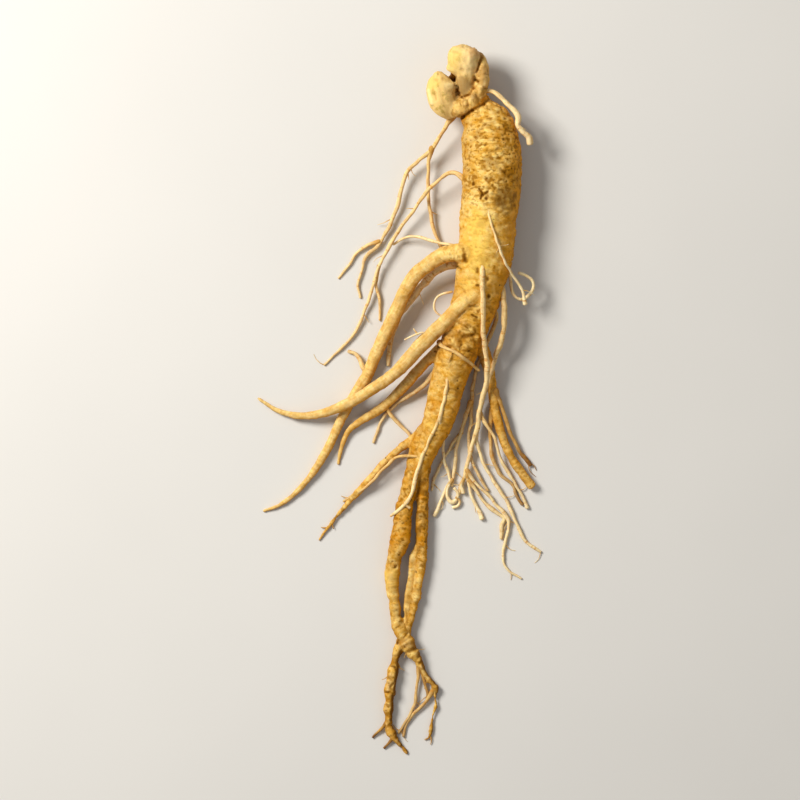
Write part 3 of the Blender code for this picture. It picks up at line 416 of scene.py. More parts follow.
# Along the main root: y in millimetres, how speckled and how amber the skin is there.
ZONES = [
    (-28, 0.5, 0.5), (0, 0.45, 0.4), (14, 0.5, 0.4), (22, 0.85, 0.75), (30, 0.75, 0.55),
    (40, 0.5, 0.35), (54, 0.4, 0.15), (66, 0.3, 0.05), (76, 0.55, 0.1), (84, 1, 0.2), (106, 1, 0.2),
    (118, 0.8, 0.4),
]

# Along the two legs of the tail: the same.
LEG_ZONES = [
    (-138, 0.8, 0.5), (-122, 0.6, 0.15), (-108, 0.5, 0.1), (-99, 0.5, 0.1), (-94, 0.5, 0.1),
    (-88, 0.7, 0.35), (-80, 0.5, 0.1), (-70, 0.2, 0), (-63, 0.8, 0.4), (-54, 1, 0.95), (-34, 1, 0.9),
    (-16, 0.8, 0.55),
]

# Marks of the skin's upper side: x and y of both ends of a stroke in millimetres, its half width,
# how far it stands out, and how dark it is (below 0, how pale).
MARKS = [
    # The hollow between the two buds and the crease round the foot of the stalk: painted shade and
    # dirt.
    (18.4, 129.2, 21.6, 127.4, 0.8, -0.8, 1), (21.8, 126.8, 22.4, 123.2, 0.7, -1.2, 1),
    (22.4, 123.2, 22.8, 121, 0.7, -1.2, 1), (22.8, 121, 24.6, 119.9, 0.7, -1.2, 1),
    (24.6, 119.9, 27.4, 120.7, 0.6, -1, 0.9), (27.8, 121.2, 28.9, 123.4, 0.5, -1, 0.6),
    (29.4, 127.8, 29, 123.4, 0.5, -1, 0.5), (30, 126.6, 31, 125.8, 0.7, -1.1, 0.9),
    (30.2, 129.6, 31.4, 133, 0.5, -0.9, 0.5), (31.4, 133, 32.9, 137.2, 0.5, -0.9, 0.35),
    # Pale nodules of the collar; on its right part, in the bud's shadow, they are also painted light.
    (28.7, 119.9, 28.7, 119.9, 1.4, 0.7, -1), (33, 126.6, 32.9, 124.6, 1.5, 0.6, -0.9),
    (33.4, 132, 33.4, 128, 1.6, 0.4, -0.9), (31.8, 130.6, 31.8, 126.6, 1.4, 0.2, -0.8),
    (30.9, 129, 30.9, 129, 1.2, 0.5, -0.7), (32.4, 132.2, 32.4, 132.2, 1.3, 0.5, -0.6),
    (25.2, 118, 25.8, 117, 0.9, 0.4, -0.4), (31.6, 122, 31.6, 122, 1.1, 0.4, -0.4),
    (23.6, 118.6, 24.2, 116, 0.4, -0.5, 0.4), (26.8, 118.6, 27.2, 115.6, 0.4, -0.5, 0.4),
    (30.2, 120.6, 31.6, 118.6, 0.5, -0.5, 0.5), (33.8, 128.8, 35.6, 128.4, 0.5, -0.5, 0.5),
    (33.6, 123, 35.6, 123.2, 0.5, -0.5, 0.6),
    # The shadow line under the head.
    (22, 111, 24.8, 111.6, 0.6, -1, 0.8), (24.8, 111.6, 28.6, 114.4, 0.7, -1.1, 0.95),
    (28.6, 114.4, 33.6, 117.4, 0.7, -0.9, 0.7), (33.6, 117.4, 36.2, 120.4, 0.6, -0.5, 0.6),
    # Spots and rims of the buds; the pale stroke down the left bud's left edge is a painted highlight.
    (24.4, 130.4, 24.8, 130.2, 0.8, -0.4, 0.35), (25, 140, 25.4, 138.8, 0.4, -0.2, 0.2),
    (21, 137.6, 22.6, 137.2, 0.7, -0.15, 0.25), (16.9, 127.2, 16.9, 126.8, 0.7, -0.2, 0.45),
    (13.8, 126.6, 14.6, 126.4, 0.7, -0.15, 0.25), (11.2, 122.4, 12.6, 117.2, 0.7, 0.25, -0.9),
    (13.1, 122.6, 14.4, 118.6, 0.5, -0.2, 0.25),
    # The pale right half of the cap, partly its own tone and partly painted light on the side the key
    # light leaves in shade, and the corner of the left bud.
    (28.2, 136.4, 27.8, 132.6, 2.8, 0.9, -0.9), (29.2, 137.8, 30.2, 136.2, 1.9, 0.45, 0.3),
    (27.2, 136.6, 27.2, 131.4, 3.4, 0, -0.9), (18.6, 124.4, 20.8, 124.4, 1.6, 0, -0.7),
    # Pits of the upper body.
    (29, 85.6, 29, 85.2, 0.9, -0.6, 1), (31.2, 83.4, 32.6, 81.4, 0.6, -0.5, 0.95),
    (34.6, 82.2, 32.8, 80.8, 0.6, -0.5, 0.95), (32.2, 80.6, 31.8, 79.6, 0.65, -0.5, 1),
    (34, 79.6, 34.1, 79.4, 0.8, -0.5, 1), (27.6, 81.2, 28, 81, 0.5, -0.4, 0.6),
    (39.6, 91, 41.6, 89.2, 0.8, -0.3, 0.65), (41.6, 89.2, 43.2, 88.4, 0.7, -0.3, 0.55),
    (41.4, 93.2, 42.2, 90.6, 0.8, -0.2, 0.4), (44.2, 90.4, 45, 88.2, 0.7, -0.2, 0.4),
    (36.4, 84.4, 36.6, 84.4, 0.6, -0.4, 0.7), (31.8, 106.8, 32.8, 107, 0.5, -0.4, 0.6),
    (38, 106.8, 39.4, 107, 0.6, -0.4, 0.5), (28.2, 106.6, 29.4, 106.8, 0.5, -0.4, 0.6),
    # The dimple where the upper left root joins, and the pits round it.
    (25.6, 56.6, 26, 54.6, 1, -0.9, 0.7), (25.2, 59.6, 26, 57.2, 0.6, -0.5, 0.5),
    (19.6, 52.8, 19.6, 52.8, 0.9, -0.5, 0.7), (20.8, 54, 22.6, 52.8, 0.45, -0.4, 0.6),
    (22.6, 52.8, 24.2, 51.7, 0.45, -0.4, 0.7), (30.6, 51.6, 30.7, 50.6, 0.8, -0.5, 0.7),
    (30.4, 45.2, 31, 45.2, 0.7, -0.4, 0.8), (34.6, 48, 34.7, 47.6, 0.8, -0.4, 0.7),
    (35, 41.2, 35.1, 40.8, 0.9, -0.5, 0.85), (37.6, 51.8, 38.4, 51, 0.9, -0.2, 0.4),
    (24.2, 44.6, 25.8, 42.4, 0.45, -0.3, 0.5), (18.4, 42.8, 19.4, 43.6, 0.6, -0.3, 0.5),
    # Wrinkles below the lower left root.
    (27.4, 37, 30.8, 36.8, 0.5, -0.4, 0.5), (28.4, 33.6, 30.4, 32.6, 0.6, -0.5, 0.8),
    (29.4, 35.2, 30, 35, 0.9, 0.4, -0.3), (23.4, 33, 25.8, 35.2, 0.45, -0.3, 0.4),
    # The knot: nodules, dark patches and the holes at its left end.
    (23, 27.2, 23.1, 27.1, 0.9, 0.7, -0.8), (24.8, 26.3, 24.9, 26.3, 0.8, 0.5, -0.6),
    (27.2, 22.8, 27.6, 21.4, 2.2, 1, 0.1), (25, 24.7, 29.2, 25.7, 0.9, -0.7, 0.75),
    (28.7, 27.7, 30.4, 25.2, 0.7, 0.5, -0.3), (30.4, 25.2, 30.7, 22.4, 0.7, 0.5, -0.2),
    (22.3, 24.4, 23.1, 21.8, 0.8, 0.6, -0.7), (24.3, 23.4, 24.4, 21.6, 0.6, -0.6, 0.7),
    (24.2, 21, 23.6, 19, 0.6, -0.4, 0.45), (18.8, 25, 19.2, 24.8, 1.5, 0.7, -0.5),
    (17.8, 22.6, 19.4, 22.4, 1.1, 0.6, -0.8), (23.7, 31.6, 25.9, 30.2, 0.8, 0.5, -0.7),
    (23.1, 30.4, 27, 28.3, 0.45, -0.4, 0.6), (24.8, 29.2, 26.2, 27.8, 0.7, 0.4, -0.6),
    (15.4, 24.8, 15.8, 23.4, 0.6, -0.8, 1), (18.6, 21.1, 19.9, 20.8, 0.5, -0.7, 0.9),
    (15.2, 21.1, 15.6, 21, 0.5, -0.7, 0.8), (13.8, 19.3, 14.2, 19.2, 0.5, -0.5, 0.8),
    (24, 19.6, 29.6, 18.6, 0.5, -0.4, 0.5),
    # The eye of the left tail leg, and its hollows.
    (-2.7, -65.7, -2.7, -65.7, 0.7, 0.3, -0.5), (-1.3, -65.6, -1.7, -66.5, 0.5, -0.4, 0.75),
    (-1.7, -66.5, -2.9, -66.7, 0.5, -0.4, 0.6), (-2.9, -66.7, -3.8, -65.8, 0.4, -0.3, 0.35),
    (-3.8, -65.4, -3, -64.2, 0.4, -0.3, 0.3), (-3, -64.2, -1.6, -64.8, 0.4, -0.3, 0.3),
    (-2.4, -86.6, -2.5, -87.4, 0.7, -0.3, 0.5), (-1.6, -90.4, 0.2, -89.4, 0.4, -0.3, 0.6),
    (2.4, -83, 2.8, -89, 0.6, -0.2, 0.5), (-1.1, -95.6, -1.1, -96.6, 0.7, -0.8, 1),
    (1.4, -94.6, 3, -92.6, 0.35, -0.3, 0.6), (3.6, -99.6, 6, -98.6, 1.1, -0.5, 0.65),
    (1.4, -96.2, 3.2, -96.6, 2.2, 0.3, -0.8), (-3.8, -67.4, -3.4, -76, 1.8, 0, -0.45),
    (7.6, -104.4, 9.2, -103.6, 0.6, -0.4, 0.75), (6.6, -101.2, 7.2, -101, 0.9, 0.35, -0.5),
    (8.4, -105.8, 8.6, -106.2, 0.8, 0.35, -0.8), (9.4, -108.4, 12.4, -113.4, 0.55, 0.1, -0.7),
    (15, -113.8, 15.6, -115.6, 1.1, 0.4, 0.6), (9.8, -106.4, 14.2, -113, 0.5, -0.1, 0.9),
    # Painted shade down the right side of the right tail leg, and its nodes.
    (0.2, -99.8, -0.8, -107, 1.2, -0.1, 0.8), (-0.8, -107, -1.7, -115.4, 1.1, -0.1, 0.85),
    (-2.9, -117.6, -3.6, -127, 0.8, -0.1, 0.85), (-3.6, -105.6, -1.8, -106, 0.4, -0.4, 0.8),
    (-6.2, -116, -4.4, -116, 0.4, -0.5, 0.8), (-3.8, -114, -2.4, -112.6, 0.5, -0.4, 0.7),
    (-4.8, -115.2, -4.4, -111.8, 0.9, 0.35, -0.9), (-3.6, -108.6, -4, -110.2, 0.7, 0, -0.7),
    (-5.4, -121, -5.6, -123.4, 0.7, 0.2, -0.8), (-5.4, -128, -5.2, -130.2, 0.7, 0.2, -0.7),
    (-0.6, -136.4, -2.2, -134.6, 0.5, 0, -0.5), (-3, -106.2, -2.8, -106, 0.7, 0.3, -0.8),
    (-3.2, -101.2, -1.6, -102, 0.5, -0.4, 0.5), (-5.4, -119.6, -3.6, -120.2, 0.4, -0.3, 0.6),
    (-6, -125.4, -4, -125.8, 0.4, -0.3, 0.6),
]

# How far round a mark points are looked for and how ragged its edge is, as shares of its reach,
# and the size of the rags in millimetres.
MARK_MARGIN = 1.6
MARK_RAGGED = 0.22
MARK_GRAIN = 0.8

# Places with a colour of their own: x, y, reach in millimetres, and for some how strong it is.
SOIL_PATCH = (41.3, 79.6, 5.6)
PEACH_PATCH = (30.4, 138.4, 3.6)
STALK_PATCH = (25.8, 123.6, 6.0)
KNOT_PATCH = (23.6, 23.4, 9.5)
# The amber patches at (24.6, 89) and (24, 66), on the body's left edge, are painted shade.
AMBER_PATCHES = [
    (40.6, 104.4, 5, 0.6), (42.6, 91, 4.6, 0.6), (24.6, 89, 3.2, 0.25), (24, 66, 4, 0.25),
    (20.6, 34, 4, 0.5), (14, -3, 3.4, 0.5),
]
LEMON_PATCHES = [
    (20.4, 134.6, 4.6, 0.6), (13, 125, 3.6, 0.7), (30.5, 69, 8, 1), (30.5, 59, 8, 1),
    (31.5, 52.5, 5, 0.9), (26.5, 45, 5, 0.7), (-3.4, -71, 5, 0.9), (12, -9.6, 3.4, 0.6),
]

# The size of each kind of relief, in millimetres: the skin's swells, its lumps and crumbs along a
# root and round it, its cracks, rings and pits, the places with wrinkles on the side roots, and
# the nodules of the collar and the knot.
SWELL_SIZE = 9.0
SMALL_SWELL_SIZE = 4.5
LUMP_SIZE = np.array([2.8, 3.4, 3.4])
CRUMB_SIZE = np.array([0.95, 1.55, 1.55])
FINE_CRUMB_SIZE = np.array([0.6, 0.9, 0.9])
CRACK_SIZE = 1.7
RING_SIZE = 4.2
PIT_SIZE = np.array([2.4, 3.0, 3.0])
WRINKLE_PATCH_SIZE = np.array([6.0, 4.0, 4.0])
COLLAR_NODULE = 2.5
KNOT_NODULE = 3.3

# How much the pattern of some relief is shrunk along a root and round it: less than 1 draws it
# out, so these run across the root, and those on the buds along it.
ACROSS = np.array([1.0, 0.3, 0.3])
WRINKLES_ACROSS = np.array([1 / 1.3, 0.22, 0.22])
KNUCKLES_ACROSS = np.array([1 / 2.7, 0.10, 0.10])
STRIPES_ALONG = np.array([0.1, 0.95, 0.95])

# How far each kind stands out of the skin or goes into it, in millimetres: the stripes of the buds
# by how the names of the buds start.
SWELL_HEIGHT = 0.40
SMALL_SWELL_HEIGHT = 0.26
LUMP_HEIGHT = 0.26
CRUMB_HEIGHT = 0.14
CRUMB_DEPTH = 0.24
CRACK_DEPTH = 0.24
RING_DEPTH = 0.22
WRINKLE_HEIGHT = 0.10
PIT_DEPTH = 0.30
NODULE_HEIGHT = 0.8
BUD_STRIPES = {"left_bud": 0.18, "top_bud": 0.12, "bud_lobe": 0.12}
KNUCKLE_HEIGHT = 0.28
LOW_KNUCKLE_HEIGHT = 0.40

# From these radii on the relief, and the tail's knuckles, have their full height, in millimetres.
FULL_RADIUS = 11.0
KNUCKLED_RADIUS = 2.2

# The size of the streaks of soil, and where along y the soil of the right tail leg begins, both in
# millimetres.
SOIL_STREAK = np.array([0.9, 2.6, 0.9])
SOILED_LEG = (-68.0, -60.0)

# The way that the key light comes from; the roots' sides turned away from it get painted shade.
LIT_SIDE = np.array([-0.62, 0.36, 0.70])

# The bits that the noise's numbers keep, and a turn that keeps its lattice from lining up with the
# roots.
LOW_BITS = 2**31 - 1
NOISE_TURN = np.array([[0.36, 0.48, -0.80], [-0.80, 0.60, 0.00], [0.48, 0.64, 0.60]])

# The rings that close an end of a root, as shares of a quarter turn.
DOME_TURNS = (0.3, 0.6, 0.85)
DOME_RINGS = len(DOME_TURNS)

# The crown is flat, so the skin above this height is another root's.
CROWN_TOP = 10.4

# Farther than any point, and how far apart the roots' patterns lie in the noise, in millimetres.
BEYOND = 1000.0
PATTERN_GAP = 400.0

# How many points are measured at a time, which keeps the tables small.
BLOCK = 16000

# The rootlets' kinks and nodes: their lengths and reach in millimetres, and how much a node swells.
KINK_LENGTH = 3.6
KINK_REACH = 0.32
NODE_LENGTH = 2.1
NODE_SWELL = 0.22

# Hairs of the rootlets and of the tail legs: how many, how long and thick they are (the radius) in
# millimetres, and how far along a host they start, from 0 to 1.
ROOTLET_HAIRS = dict(count=44, lengths=(1.4, 5.0), radii=(0.12, 0.18), start=0.3)
LEG_HAIRS = dict(count=12, lengths=(1.0, 3.0), radii=(0.14, 0.24), start=0.6)

# The numbers of the colour sockets on a mix node, which share their names with others.
MIX_INPUTS = (6, 7)
MIX_OUTPUT = 2

# Lights: where each one stands and how wide it is in metres, its power and its colour. Then the
# light of the room.
KEY_LIGHT = ((-0.62, 0.42, 0.72), 0.42, 12.6, (1.0, 0.95, 0.86))
FILL_LIGHT = ((0.7, -0.25, 0.6), 0.8, 0.6, (1.0, 0.96, 0.90))
ROOM_COLOUR = (1.0, 0.96, 0.89, 1.0)
ROOM_STRENGTH = 0.29

# The camera's height, the width of the floor that it shows, half the floor's own width, and how
# far the floor lies below the root, in metres.
CAMERA_HEIGHT = 2.8
SHOWN_WIDTH = 0.318
FLOOR_HALF = 1.6
FLOOR_DROP = 0.00005

# A root's rings: their middles and radii, their directions, and the way to each from the base.
Strand = collections.namedtuple("Strand", "name centres radii ahead side up along")

# What is known of the points of the skin: the number of their root, their place in its pattern,
# its radius there, the gap to the next root, how far along their root they are, from 0 to 1, and
# how far above its middle line.
Fields = collections.namedtuple("Fields", "owner coord radius gap progress lift")


def lattice(cells, seed):
    """A repeatable number from -1 to 1 for each whole-number cell, by mixing its bits."""
    mixed = cells[:, 0] * 1619 + cells[:, 1] * 31337 + cells[:, 2] * 6971 + seed * 1013
    mixed &= LOW_BITS
    mixed ^= mixed >> 13
    mixed = (mixed * (mixed * mixed * 60493 + 19990303) + 1376312589) & LOW_BITS
    return 1.0 - mixed / 2.0**30


def noise(points, seed):
    """Smooth noise from -1 to 1, about one swell for each unit of length."""
    points = points @ NOISE_TURN
    base = np.floor(points).astype(np.int64)
    share = points - base
    share = share * share * (3 - 2 * share)
    total = np.zeros(len(points))
    for corner in np.ndindex(2, 2, 2):
        step = np.array(corner)
        weight = np.prod(np.where(step == 1, share, 1 - share), axis=1)
        total += weight * lattice(base + step, seed)
    return total


def dots(points, seed):
    """The distance to the nearest of one random dot a cell, and that dot's own number."""
    base = np.floor(points).astype(np.int64)
    nearest = np.full(len(points), 9.0)
    number = np.zeros(len(points))
    for corner in np.ndindex(3, 3, 3):
        cell = base + np.array(corner) - 1
        shift = [0.45 * lattice(cell, seed + k) for k in range(3)]
        away = points - cell - 0.5 - np.stack(shift, axis=1)
        distance = np.sqrt((away**2).sum(axis=1))
        closer = distance < nearest
        nearest[closer] = distance[closer]
        number[closer] = lattice(cell[closer], seed + 7)
    return nearest, number


def ease(low, high, value):
    """0 below low, 1 above high, and smooth between them."""
    share = np.clip((value - low) / (high - low), 0.0, 1.0)
    return share * share * (3 - 2 * share)


def from_low(low, share):
    """A share from 0 to 1, moved to run from low to 1."""
    return low + (1 - low) * share


def smooth_route(route, gap):
    """Points about `gap` apart on a smooth curve through the route, as rows of x, y, z, radius."""
    points = np.array(route, float)
    spans = np.linalg.norm(np.diff(points[:, :3], axis=0), axis=1)
    travelled = np.concatenate([[0.0], np.cumsum(spans)])
    slopes = np.empty_like(points)
    for i in range(len(points)):
        before = max(i - 1, 0)
        after = min(i + 1, len(points) - 1)
        slopes[i] = (points[after] - points[before]) / (travelled[after] - travelled[before])
    rows = []
    for i, span in enumerate(spans):
        steps = max(1, round(span / gap))
        t = (np.arange(steps) / steps)[:, None]
        rows.append(
            points[i] * (2 * t**3 - 3 * t**2 + 1)
            + slopes[i] * span * (t**3 - 2 * t**2 + t)
            + points[i + 1] * (3 * t**2 - 2 * t**3)
            + slopes[i + 1] * span * (t**3 - t**2)
        )
    rows.append(points[-1:])
    return np.concatenate(rows)


def make_strand(name, points):
    """A strand with a frame at each station that turns as little as it can along it."""
    centres = points[:, :3]
    ahead = np.gradient(centres, axis=0)
    ahead /= np.linalg.norm(ahead, axis=1, keepdims=True)
    side = np.empty_like(centres)
    start = np.cross(ahead[0], (0.0, 0.0, 1.0))
    if np.linalg.norm(start) < 0.1:
        start = np.cross(ahead[0], (1.0, 0.0, 0.0))
    for i, direction in enumerate(ahead):
        start = start - direction * start.dot(direction)
        start /= np.linalg.norm(start)
        side[i] = start
    spans = np.linalg.norm(np.diff(centres, axis=0), axis=1)
    along = np.concatenate([[0.0], np.cumsum(spans)])
    return Strand(name, centres, points[:, 3], ahead, side, np.cross(ahead, side), along)


def dome(strand, index, way, roundness):
    """Rings past one end of a strand that close it, each as (centre, radius)."""
    radius = strand.radii[index]
    rings = []
    for turn in DOME_TURNS:
        reach = way * radius * roundness * math.sin(turn * math.pi / 2)
        centre = strand.centres[index] + strand.ahead[index] * reach
        rings.append((centre, radius * math.cos(turn * math.pi / 2)))
    return rings


def tube(strand, sides, base_roundness, tip_roundness):
    """The strand's closed tube: (points, faces) with a dome at each end."""
    turns = np.arange(sides) * 2 * math.pi / sides
    first = dome(strand, 0, -1, base_roundness)[::-1]
    last = dome(strand, -1, 1, tip_roundness)
    centres = [c for c, _ in first] + list(strand.centres) + [c for c, _ in last]
    radii = [r for _, r in first] + list(strand.radii) + [r for _, r in last]
    frames = [0] * len(first) + list(range(len(strand.centres))) + [-1] * len(last)
    rings = []
    for centre, radius, k in zip(centres, radii, frames):
        spokes = np.outer(np.cos(turns), strand.side[k]) + np.outer(np.sin(turns), strand.up[k])
        rings.append(centre + radius * spokes)
    points = np.concatenate(rings)
    ring = np.arange(sides)
    beside = (ring + 1) % sides
    faces = []
    for k in range(len(rings) - 1):
        low = k * sides
        quad = [low + ring, low + beside, low + sides + beside, low + sides + ring]
        faces += np.stack(quad, axis=1).tolist()
    faces.append(list(range(sides))[::-1])
    faces.append(list(range(len(points) - sides, len(points))))
    return points, faces


def mesh_of(name, shells):
    """One mesh in metres from several (points, faces) in millimetres."""
    points = []
    faces = []
    count = 0
    for shell_points, shell_faces in shells:
        points.append(shell_points)
        faces += [[index + count for index in face] for face in shell_faces]
        count += len(shell_points)
    mesh = bpy.data.meshes.new(name)
    mesh.from_pydata((np.concatenate(points) * MM).tolist(), [], faces)
    mesh.validate()
    mesh.update()
    return mesh


def new_object(name, data):
    obj = bpy.data.objects.new(name, data)
    bpy.context.scene.collection.objects.link(obj)
    return obj


def read_rows(items, key, width, kind=np.float32):
    """One value of each item of a mesh, as rows."""
    flat = np.empty(len(items) * width, kind)
    items.foreach_get(key, flat)
    return flat.reshape(-1, width)


def read_points(mesh):
    return read_rows(mesh.vertices, "co", 3).astype(float) / MM


def write_points(mesh, points):
    mesh.vertices.foreach_set("co", (points * MM).astype(np.float32).ravel())
    mesh.update()


def read_normals(mesh):
    return read_rows(mesh.vertices, "normal", 3).astype(float)


def apply_modifiers(obj):
    """Replaces the object's mesh by what its modifiers make of it."""
    graph = bpy.context.evaluated_depsgraph_get()
    made = bpy.data.meshes.new_from_object(obj.evaluated_get(graph))
    obj.modifiers.clear()
    old = obj.data
    obj.data = made
    bpy.data.meshes.remove(old)


def soften(points, edges, where, share, rounds):
    """Draws points towards their neighbours by a share, where `where` is 1, and less below 1."""
    count = len(points)
    ends = np.concatenate([edges, edges[:, ::-1]])
    degree = np.maximum(np.bincount(ends[:, 0], minlength=count), 1)
    points = points.copy()
    for _ in range(rounds):
        mean = np.empty_like(points)
        for axis in range(3):
            pulled = points[ends[:, 1], axis]
            mean[:, axis] = np.bincount(ends[:, 0], weights=pulled, minlength=count) / degree
        points += (mean - points) * (share * where)[:, None]
    return points


def thick_strands():
    """Every thick root as a strand, the main root first."""
    routes = {"main": MAIN_ROOT, **HEAD, **LEGS}
    return [make_strand(name, smooth_route(route, THICK_GAP)) for name, route in routes.items()]


def measure(points, strands):
    """For each point: whose skin it is, where it lies on it, and how near the next root is."""
    count = len(points)
    best, second = np.full((2, count), BEYOND)
    owner, spot = np.zeros((2, count), int)
    for number, strand in enumerate(strands):
        centre_squares = (strand.centres**2).sum(axis=1)
        for low in range(0, count, BLOCK):
            some = points[low : low + BLOCK]
            squares = (some**2).sum(axis=1)[:, None] + centre_squares[None, :]
            squares -= 2 * some @ strand.centres.T
            depth = np.sqrt(np.maximum(squares, 0.0)) - strand.radii[None, :]
            nearest = depth.argmin(axis=1)
            depth = depth[np.arange(len(some)), nearest]
            if strand.name == "crown":
                depth = np.where(some[:, 2] > CROWN_TOP, BEYOND, depth)
            here = slice(low, low + len(some))
            nearer = depth < best[here]
            second[here] = np.where(nearer, best[here], np.minimum(second[here], depth))
            best[here] = np.where(nearer, depth, best[here])
            owner[here] = np.where(nearer, number, owner[here])
            spot[here] = np.where(nearer, nearest, spot[here])
    coord = np.empty_like(points)
    radius, progress, lift = np.empty((3, count))
    for number, strand in enumerate(strands):
        mine = owner == number
        k = spot[mine]
        out = points[mine] - strand.centres[k]
        forward = (out * strand.ahead[k]).sum(axis=1)
        turn = np.arctan2((out * strand.up[k]).sum(axis=1), (out * strand.side[k]).sum(axis=1))
        radius[mine] = strand.radii[k]
        coord[mine, 0] = strand.along[k] + forward + PATTERN_GAP * number
        coord[mine, 1] = strand.radii[k] * np.cos(turn)
        coord[mine, 2] = strand.radii[k] * np.sin(turn)
        progress[mine] = strand.along[k] / strand.along[-1]
        lift[mine] = out[:, 2]
    return Fields(owner, coord, radius, second - best, progress, lift)


def belongs(fields, strands, start):
    """Which points lie on a root whose name starts with these letters, or one of these."""
    numbers = [k for k, strand in enumerate(strands) if strand.name.startswith(start)]
    return np.isin(fields.owner, numbers)


def looks_of(points, fields, strands):
    """Each point's look: its root's, changed along the main root, the tail and the side roots."""
    table = np.array([LOOKS[strand.name] for strand in strands])
    look = Look(*table[fields.owner].T.copy())
    for start, zones in (("main", ZONES), ("tail_leg", LEG_ZONES)):
        where = belongs(fields, strands, start)
        stations, speckle, amber = np.array(zones).T
        look.speckle[where] += np.interp(points[where, 1], stations, speckle)
        look.amber[where] += np.interp(points[where, 1], stations, amber)
    side = belongs(fields, strands, ("left_root_upper", "left_root_lower"))
    joined = 1 - ease(0.04, 0.14, fields.progress[side])
    look.pale[side] *= 1 - 0.7 * joined
    look.speckle[side] += 0.25 * joined
    return look


def marked(points, fields):
    """How far the marks push the skin out, and how dark and how pale they make it."""
    out, dark, light = np.zeros((3, len(points)))
    ragged = MARK_RAGGED * noise(points / MARK_GRAIN, 81)
    flat = points[:, :2]
    for x0, y0, x1, y1, reach, height, darkness in MARKS:
        start = np.array([x0, y0])
        end = np.array([x1, y1])
        way = end - start
        low = np.minimum(start, end) - MARK_MARGIN * reach
        high = np.maximum(start, end) + MARK_MARGIN * reach
        near = np.flatnonzero((flat > low).all(1) & (flat < high).all(1) & (fields.lift > 0))
        share = (flat[near] - start) @ way / max(way @ way, 1e-9)
        foot = start + np.clip(share, 0, 1)[:, None] * way
        away = np.linalg.norm(flat[near] - foot, axis=1) / reach + ragged[near]
        strength = 1 - ease(0.15, 1.4, away)
        out[near] += height * strength
        dark[near] = np.maximum(dark[near], darkness * strength)
        light[near] = np.maximum(light[near], -darkness * strength)
    return out, dark, light


def patch(points, place, seed):
    """1 in the middle of a place and 0 outside it, with a ragged edge."""
    x, y, reach = place
    distance = np.hypot(points[:, 0] - x, points[:, 1] - y)
    ragged = 0.40 * noise(points / 2.4, seed) + 0.25 * noise(points / 0.9, seed + 1)
    return 1 - ease(0.45, 1.05, distance / reach + ragged)


def crumbs(coord, speckle, knot):
    """How far the crumbs of the speckled skin stand out, and the hollows between them."""
    crumb = noise(coord / CRUMB_SIZE, 6) + 0.50 * noise(coord / FINE_CRUMB_SIZE, 7)
    hollow = ease(0.08, 0.70, crumb) * speckle * (1 - 0.5 * knot)
    return CRUMB_HEIGHT * np.clip(-crumb, 0, 1) - CRUMB_DEPTH * hollow, hollow


def cracks_and_rings(points, coord):
    """Fine cracks across the roots, in places, and the rings round them, from 0 to 1."""
    crinkle = noise(coord * ACROSS / CRACK_SIZE + 0.5 * noise(points / 3.0, 8)[:, None], 9)
    where = ease(-0.2, 0.5, noise(points / 7.0, 10))
    crack = ease(0.75, 1.0, 1 - np.abs(crinkle)) * where
    ring = ease(0.82, 1.0, 1 - np.abs(noise(coord * ACROSS / RING_SIZE, 12)))
    return crack, ring


def wrinkles(coord):
    """The side roots' wrinkles: how far they stand out, and their recess."""
    wrinkle = noise(coord * WRINKLES_ACROSS, 14)
    wrinkle *= ease(-0.3, 0.4, noise(coord / WRINKLE_PATCH_SIZE, 15))
    return WRINKLE_HEIGHT * wrinkle, 0.30 * ease(0.15, 0.7, -wrinkle)


def nodules(points, collar, strength):
    """Round nodules, on the collar and the knot, and the brown between them."""
    spacing = np.where(collar, COLLAR_NODULE, KNOT_NODULE)[:, None]
    strength = np.where(collar, 0.6, 0.85) * strength
    away, _ = dots(points / spacing, 31)
    return NODULE_HEIGHT * (0.42 - away) * strength, ease(0.40, 0.68, away) * strength


def stripes(coord, height):
    """Stripes along a bud, and the hollows between them."""
    stripe = noise(coord * STRIPES_ALONG, 33)
    return height * stripe, 0.22 * ease(0.1, 0.6, -stripe)


def knuckles(coord, radius, progress):
    """The tail's knuckles, and the dark waists between them, stronger towards its tips."""
    low = ease(0.3, 0.8, progress)
    place = coord * KNUCKLES_ACROSS
    knuckle = noise(place, 41) + 0.6 * noise(place * 2.1, 42)
    height = (KNUCKLE_HEIGHT + LOW_KNUCKLE_HEIGHT * low) * knuckle
    waist = ease(0.15, 0.65, -knuckle) * (0.18 + 0.57 * low)
    return height * np.clip(radius / KNUCKLED_RADIUS, 0.5, 1.0), waist


def shape_part(out, recess, where, raised, hollow):
    """Adds to the relief of some points only."""
    out[where] += raised
    recess[where] = np.maximum(recess[where], hollow)


